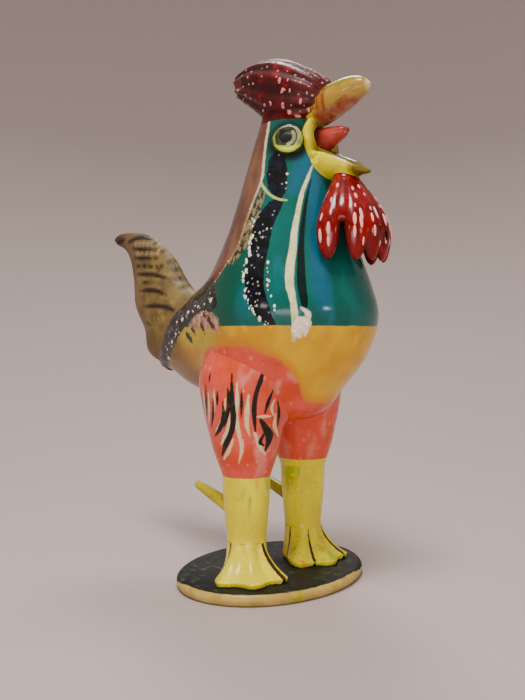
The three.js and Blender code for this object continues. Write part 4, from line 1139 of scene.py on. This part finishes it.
# Olive over the top of the upper beak, strongest towards the root: painted shade.
horn = (lift.between(0.3, 0.55) * share.between(0.75, 0.95, 0.95, 0.3)).over(horn, "#7d7426")
red = shade.mottle(5, 2.0).between(0.4, 0.62).over(colour("#99694c", 1.1), colour("#86503e", 1.1))
horn = (lift.below(-0.62, -0.3) * share.between(0.2, 0.3)).over(horn, red)
# The pale cream at the tip is a painted highlight.
horn = (share.between(0.93, 0.99) * 0.6).over(horn, "#e8d4b8")
stripes = brushed(shade, "stripes", 0.4, 0.8)
tone = (stripes * 0.85).over(horn, "#7a3316")
fire(shade, tone, 0.13 + 0.12 * shade.mottle(7), stripes)

lower_stations = stations(lower_at, beak_half_width, [
    (-0.12, 0.95, -0.12, -0.8, 1), (0.12, 0.95, 0.12, -0.95, 1.08), (0.42, 0.95, 0.42, -0.76, 1),
    (0.69, 0.66, 0.7, -0.5, 0.76), (0.88, 0.27, 0.9, -0.22, 0.44), (0.995, 0.08, 0.995, -0.1, 0.14)])
scoop_rise = lower_half_depth * 0.85
scoop_middle = np.array([beak_root + beak_reach * 0.52, 0, (lower_root + lower_tip) / 2 + scoop_rise])
scoop_slope = math.atan2(lower_root - lower_tip + scoop_rise, beak_reach)
scoop_reach, scoop_half_width, scoop_depth = beak_reach * 0.46, beak_half_width * 0.78, 4.5
lean = np.array([[math.cos(scoop_slope), 0, math.sin(scoop_slope)], [0, 1, 0],
                 [-math.sin(scoop_slope), 0, math.cos(scoop_slope)]])
scoop_rings = []
for lift in np.linspace(-0.998, 0.998, 30):
    wide = math.sqrt(1 - lift**2)
    ring = level_hoop(0, 0, lift * scoop_depth, scoop_reach * wide, scoop_half_width * wide, 60)
    scoop_rings.append(ring @ lean.T + scoop_middle)
lower_half = cut_away(skin_over(middle_loft(lower_stations, 70, 80)), skin_over(scoop_rings))
rims = []
for side in (-1, 1):
    rim_path = curve([(beak_root + 12.5, side * (beak_half_width - 1.5), upper_root - rim_drop),
                      (beak_root + 10, side * (beak_half_width + 1), rim_middle_height),
                      (beak_root + 13, side * (beak_half_width - 1.5), lower_root)], 40)
    rim_rings = []
    for k, spot in enumerate(rim_path):
        ahead = rim_path[min(k + 1, len(rim_path) - 1)] - rim_path[max(k - 1, 0)]
        ahead = ahead / np.linalg.norm(ahead)
        out = np.cross(ahead, [0, 1, 0])
        out = out / np.linalg.norm(out)
        rim_rings.append(hoop(spot, gape_radius * out, gape_radius * np.cross(ahead, out), 24))
    rims.append(skin_over(rim_rings))
lower_beak = make("beak_lower", melt([lower_half] + rims, 0.42, 8))
lower_points = forms["beak_lower"].points
scooped = (lower_points - scoop_middle) @ lean
inside = np.sqrt(((scooped / [scoop_reach, scoop_half_width, scoop_depth]) ** 2).sum(1))
layer(lower_beak, "scoop", (inside - 1) * 4)
gape_inner = np.hypot(lower_points[:, 0] - beak_root - 9, np.abs(lower_points[:, 1]) - beak_half_width + 3.2)
layer(lower_beak, "gape", np.where(lower_points[:, 2] > lower_root, gape_inner, 9))
lower_share = (lower_points[:, 0] - beak_root) / beak_reach
layer(lower_beak, "share", lower_share)
lip_line = lower_root + lower_share * (lower_tip - lower_root)
lip_line = lip_line + np.interp(lower_share, [0.3, 0.42, 0.69, 0.88, 1], [6.0, 6.2, 3.2, 0.6, 0])
layer(lower_beak, "lip", lower_points[:, 2] - lip_line)
shade = new_glaze(lower_beak, "lower_beak_glaze")
yellow = shade.mottle(9, 3.0).between(0.35, 0.65).over("#dad01e", "#c6b816")
yellow = shade.mottle(6, 2.0, shift=3.3).between(0.58, 0.7).over(yellow, "#e8e06a")
yellow = (shade.value("gape").below(1.2, 3.6) * 0.8).over(yellow, "#d9902a")
lip = shade.value("lip").wavering(4, 0.5).between(0.0, 0.5) * shade.value("share").between(0.24, 0.34)
tip = shade.value("share").wavering(4, 0.08).between(0.72, 0.84)
yellow = (lip.most(tip) * 0.92).over(yellow, "#4f3f14")
tone = shade.value("scoop").below(0.25, 0.6).over(yellow, "#3d270c")
fire(shade, tone, 0.13 + 0.12 * shade.mottle(7))

tongue_length, tongue_lift, tongue_half_width, tongue_half_thickness = 29, 3, 7, 5


def tongue_at(share, up):
    along = (2 + share * tongue_length) / beak_reach
    middle = (upper_root + lower_root + along * (upper_tip + lower_tip - upper_root - lower_root)) / 2
    return beak_root + along * beak_reach, middle - 1.5 + tongue_lift * share**2 + up * tongue_half_thickness


tongue_stations = stations(tongue_at, tongue_half_width, [
    (-0.1, 1.7, -0.1, -2.6, 1), (0.25, 1.3, 0.25, -2.4, 1), (0.6, 1, 0.6, -1.5, 0.9),
    (0.88, 0.6, 0.88, -0.8, 0.6), (1, 0.2, 1, -0.3, 0.2)])
tongue = make("tongue", skin_over(middle_loft(tongue_stations, 60, 60)))
side_layer("tongue", "dark_spot", [], dots=[([(60, 287), (61, 286)], [1.1, 0.9])])
# How far each point lies forward of the beak's root, for the painted shade deep in the mouth.
layer(tongue, "depth", forms["tongue"].points[:, 0] - beak_root)
shade = new_glaze(tongue, "mouth_glaze")
pink = shade.mottle(7, 3.0).between(0.35, 0.65).over("#a8554e", "#8a423c")
pink = shade.mottle(4, 2.0, shift=2.1).between(0.6, 0.74).over(pink, "#cf8478")
# Dark brown towards the root of the tongue, deep in the mouth: painted shade.
pink = (shade.value("depth").below(11, 18) * 0.8).over(pink, "#3a1a10")
tone = (brushed(shade, "dark_spot", 0.3, 0.4) * 0.85).over(pink, "#3a1612")
fire(shade, tone, 0.14 + 0.12 * shade.mottle(6))


# Eyes: turned discs with a raised ring and a domed pupil, pressed on the sides of the head and
# painted with a yellow-green crescent, cream arcs and a near-black pupil. The cream arcs also
# paint the highlight on the eye.
eye_thickness = 3
eye_lean = math.atan2(float(body_radius(eye_height - 5) - body_radius(eye_height + 5)), 10)
eye_profile = curve([(0.02, -1.6, 0), (0.9, -1.6, 0), (0.99, -0.2, 0), (1, 0.3, 0), (0.93, 0.8, 0),
                     (0.8, 0.9, 0), (0.68, 0.7, 0), (0.5, 0.68, 0), (0.3, 0.72, 0), (0.02, 0.74, 0)], 70)
pupil_back, pupil_lift, pupil_radius = 1.8, 1.8, 3.9
arc_lift, arc_half_width = 1.6, 0.2
for name, side in sides:
    looking = out_at(side * eye_turn)
    face = math.cos(eye_lean) * looking + [0, 0, math.sin(eye_lean)]
    fore = np.cross(looking, [0, 0, side])
    up = np.cross(fore, face) * side
    up = up if up[2] > 0 else -up
    middle = float(body_radius(eye_height)) * looking + [body_forward, 0, eye_height]
    eye_rings = [hoop(middle + face * rise * eye_thickness, -side * out * eye_radius * fore,
                      -side * out * eye_radius * up, 90) for out, rise, _ in eye_profile]
    if side > 0:
        eye_rings = [ring[::-1] for ring in eye_rings]
    eye = make(f"eye_{name}", skin_over(eye_rings))
    local = forms[f"eye_{name}"].points - middle
    ahead, above = local @ fore, local @ up
    arcs_and_glint = []
    for radius, low, high in ((5.7, -70, 35), (8.7, -42, 50)):
        sweep = np.radians(np.linspace(low, high, 20))
        path = [radius * np.cos(sweep) - pupil_back, radius * np.sin(sweep) + arc_lift, 0 * sweep]
        arcs_and_glint.append((np.stack(path, -1), [arc_half_width * share for share in (0.6, 1, 0.6)]))
    layer(eye, "pupil", np.hypot(ahead + pupil_back, (above - pupil_lift) * 0.9) - pupil_radius)
    layer(eye, "arcs_and_glint", off_strokes(np.stack([ahead, above, 0 * above], -1), arcs_and_glint, 4, soft=True))
    layer(eye, "low", above)
    layer(eye, "out", np.hypot(ahead, above))
    shade = new_glaze(eye, f"eye_glaze_{name}")
    out = shade.value("out").wavering(3, 0.8)
    low = shade.value("low")
    olive = shade.mottle(3).between(0.4, 0.6).over("#22281a", "#343a20")
    ring = out.between(7.6, 8.2) * out.below(9.0, 9.6) * low.between(0.0, 6.0, 0.85, 0.2)
    olive = ring.over(olive, "#838c48")
    crescent = low.wavering(3, 1.2).below(-5.2, -4.0) * out.below(9.0, 9.7, 0.95)
    olive = crescent.over(olive, "#a6b03a")
    # Cream arcs beside the pupil, partly painted highlight.
    tone = (brushed(shade, "arcs_and_glint", 0.3, 0.5) * 0.85).over(olive, "#cdc9a0")
    tone = brushed(shade, "pupil", 0.3, 0.5).over(tone, "#070806")
    fire(shade, tone, 0.16 + 0.1 * shade.mottle(5))


# Wattles: three lobes a side that swell as they hang from the throat, pressed together into a
# skirt, crimson like the comb, with long drops of pink enamel down each lobe.
skirt_middle, skirt_radius = 58, 22.3
wattle_top, wattle_bottom = 259, 203.5
lobe_half_width, lobe_half_depth = 7.5, 5
lobe_angles = (13, 38, 79)
web_drop = 0.6
skirt_gap = 0.3


def lobe_middle(side, angle, level, drop=1.0):
    """The middle of a lobe at a level of its fall, and the way out from the skirt there."""
    out = out_at(side * angle)
    level = level * drop
    reach = skirt_radius * (0.16 + 0.92 * math.sin(math.pi / 2 * min(level * 1.35, 1)))
    return np.array([skirt_middle, 0, wattle_top - (wattle_top - wattle_bottom) * level]) + out * reach, out


def lobe_form(side, angle, drop=1.0):
    around = np.cross([0, 0, 1], out_at(side * angle))
    rings = []
    for level in 1 - np.linspace(1, 0, 60) ** 1.4:
        middle, out = lobe_middle(side, angle, level, drop)
        grown = 0.5 + 0.5 * min(level * drop * 1.6, 1)
        grown = grown * math.sqrt(max(1 - (max(level - 0.6, 0) / 0.4) ** 2, 0.01))
        rings.append(hoop(middle, grown * lobe_half_width * around, grown * lobe_half_depth * out, 48))
    return skin_over(rings[::-1])


for name, side in sides:
    web = lobe_form(side, (lobe_angles[1] + lobe_angles[2]) / 2, web_drop)
    skirt = melt([lobe_form(side, angle) for angle in lobe_angles] + [web], 0.5, 7)
    over_middle = side * skirt.points[:, 1] < skirt_gap / 2
    skirt.points[over_middle, 1] = side * skirt_gap / 2
    skirt = Form(skirt.points, skirt.faces)
    for k, angle in enumerate(lobe_angles):
        path = curve([skirt.meet(*lobe_middle(side, angle, level))[0]
                      for level in (0.12, 0.3, 0.45, 0.6, 0.75, 0.86)], 60)
        seed = 200 + 10 * k + (side > 0)
        bead_row(skirt, path[2:30], 7.0, 0.85, 1.8, seed, raised=0.85, stretch=2.2)
        for slide in (-2.6, 2.6):
            aside = np.cross(lobe_middle(side, angle, 0.5)[1], [0, 0, 1]) * slide
            bead_row(skirt, (path + aside)[24 + int(slide):56], 9.0, 0.95, 0.8, seed + 5 + int(slide),
                     stretch=3.6)
    wattle = make(f"wattle_{name}", skirt)
    crease_shade = np.full(len(skirt.points), 9.0)
    for first, second in zip(lobe_angles, lobe_angles[1:]):
        for level in np.linspace(0.1, 1, 24):
            middle, _ = lobe_middle(side, (first + second) / 2, level)
            crease_shade = np.minimum(crease_shade, np.linalg.norm((skirt.points - middle) * [1, 1, 0.7], axis=1))
    layer(wattle, "raised", skirt.raised)
    layer(wattle, "crease_shade", np.where(skirt.raised > 0, 9, crease_shade))
    shade = new_glaze(wattle, f"wattle_glaze_{name}")
    tone = shade.mottle(10, 3.0, (1, 1, 2)).between(0.36, 0.64).over("#741220", "#520c15")
    tone = shade.mottle(6, 2.0, (0.6, 0.6, 3), 1.2).between(0.54, 0.68).over(tone, "#8e1828")
    # Darker in the creases between the lobes: painted shade.
    tone = (shade.value("crease_shade").below(0.8, 3.6) * 0.7).over(tone, "#4a1014")
    tone = beads_over(shade, tone, "#efb4ae")
    fire(shade, tone, 0.12 + 0.12 * shade.mottle(7))


# Slip: where two pieces meet, the potter works soft clay into the corner with a fingertip. Both
# surfaces lean towards each other over the width of the fingertip and meet in a smooth hollow.
def work_slip(name, neighbours):
    """Leans a piece towards each neighbour, over the width of slip in millimetres that is given for it."""
    mesh = pieces[name].data
    normals = np.zeros(len(mesh.vertices) * 3, np.float32)
    mesh.vertices.foreach_get("normal", normals)
    normals = normals.reshape(-1, 3)
    points = forms[name].points.copy()
    for other, width in neighbours.items():
        low, high = forms[other].points.min(0), forms[other].points.max(0)
        near = np.all((points > low - width) & (points < high + width), axis=1)
        for i in np.where(near)[0]:
            place, facing, _, gap = forms[other].tree.find_nearest(Vector(points[i]), width)
            if place is None:
                continue
            outside = gap if (Vector(points[i]) - place).dot(facing) > 0 else -gap
            share = 0.5 + 0.5 * outside / width
            lean = normals[i] * share + np.array(facing) * (1 - share)
            points[i] += lean / max(np.linalg.norm(lean), 0.3) * (width - gap) ** 2 / (4 * width)
    mesh.vertices.foreach_set("co", (points * MM).ravel())
    mesh.update()


for name, _ in sides:
    work_slip(f"thigh_{name}", {"body": 9})
    work_slip(f"spur_{name}", {f"shank_{name}": 4})
    work_slip(f"shank_{name}", {f"spur_{name}": 4})
    work_slip(f"foot_{name}", {"plinth": 2.5})
    work_slip(f"wattle_{name}", {"body": 3, "beak_lower": 3})
    work_slip(f"eye_{name}", {"body": 1.5})
work_slip("body", {"thigh_right": 9, "thigh_left": 9, "tail": 6, "comb": 5, "beak_upper": 4, "beak_lower": 3,
                   "wattle_right": 3, "wattle_left": 3, "eye_right": 1.5, "eye_left": 1.5})
work_slip("tail", {"body": 6})
work_slip("comb", {"body": 5, "beak_upper": 3})
work_slip("beak_upper", {"body": 4, "comb": 3, "beak_lower": 3})
work_slip("beak_lower", {"body": 3, "beak_upper": 3, "wattle_right": 3, "wattle_left": 3})

low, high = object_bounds()
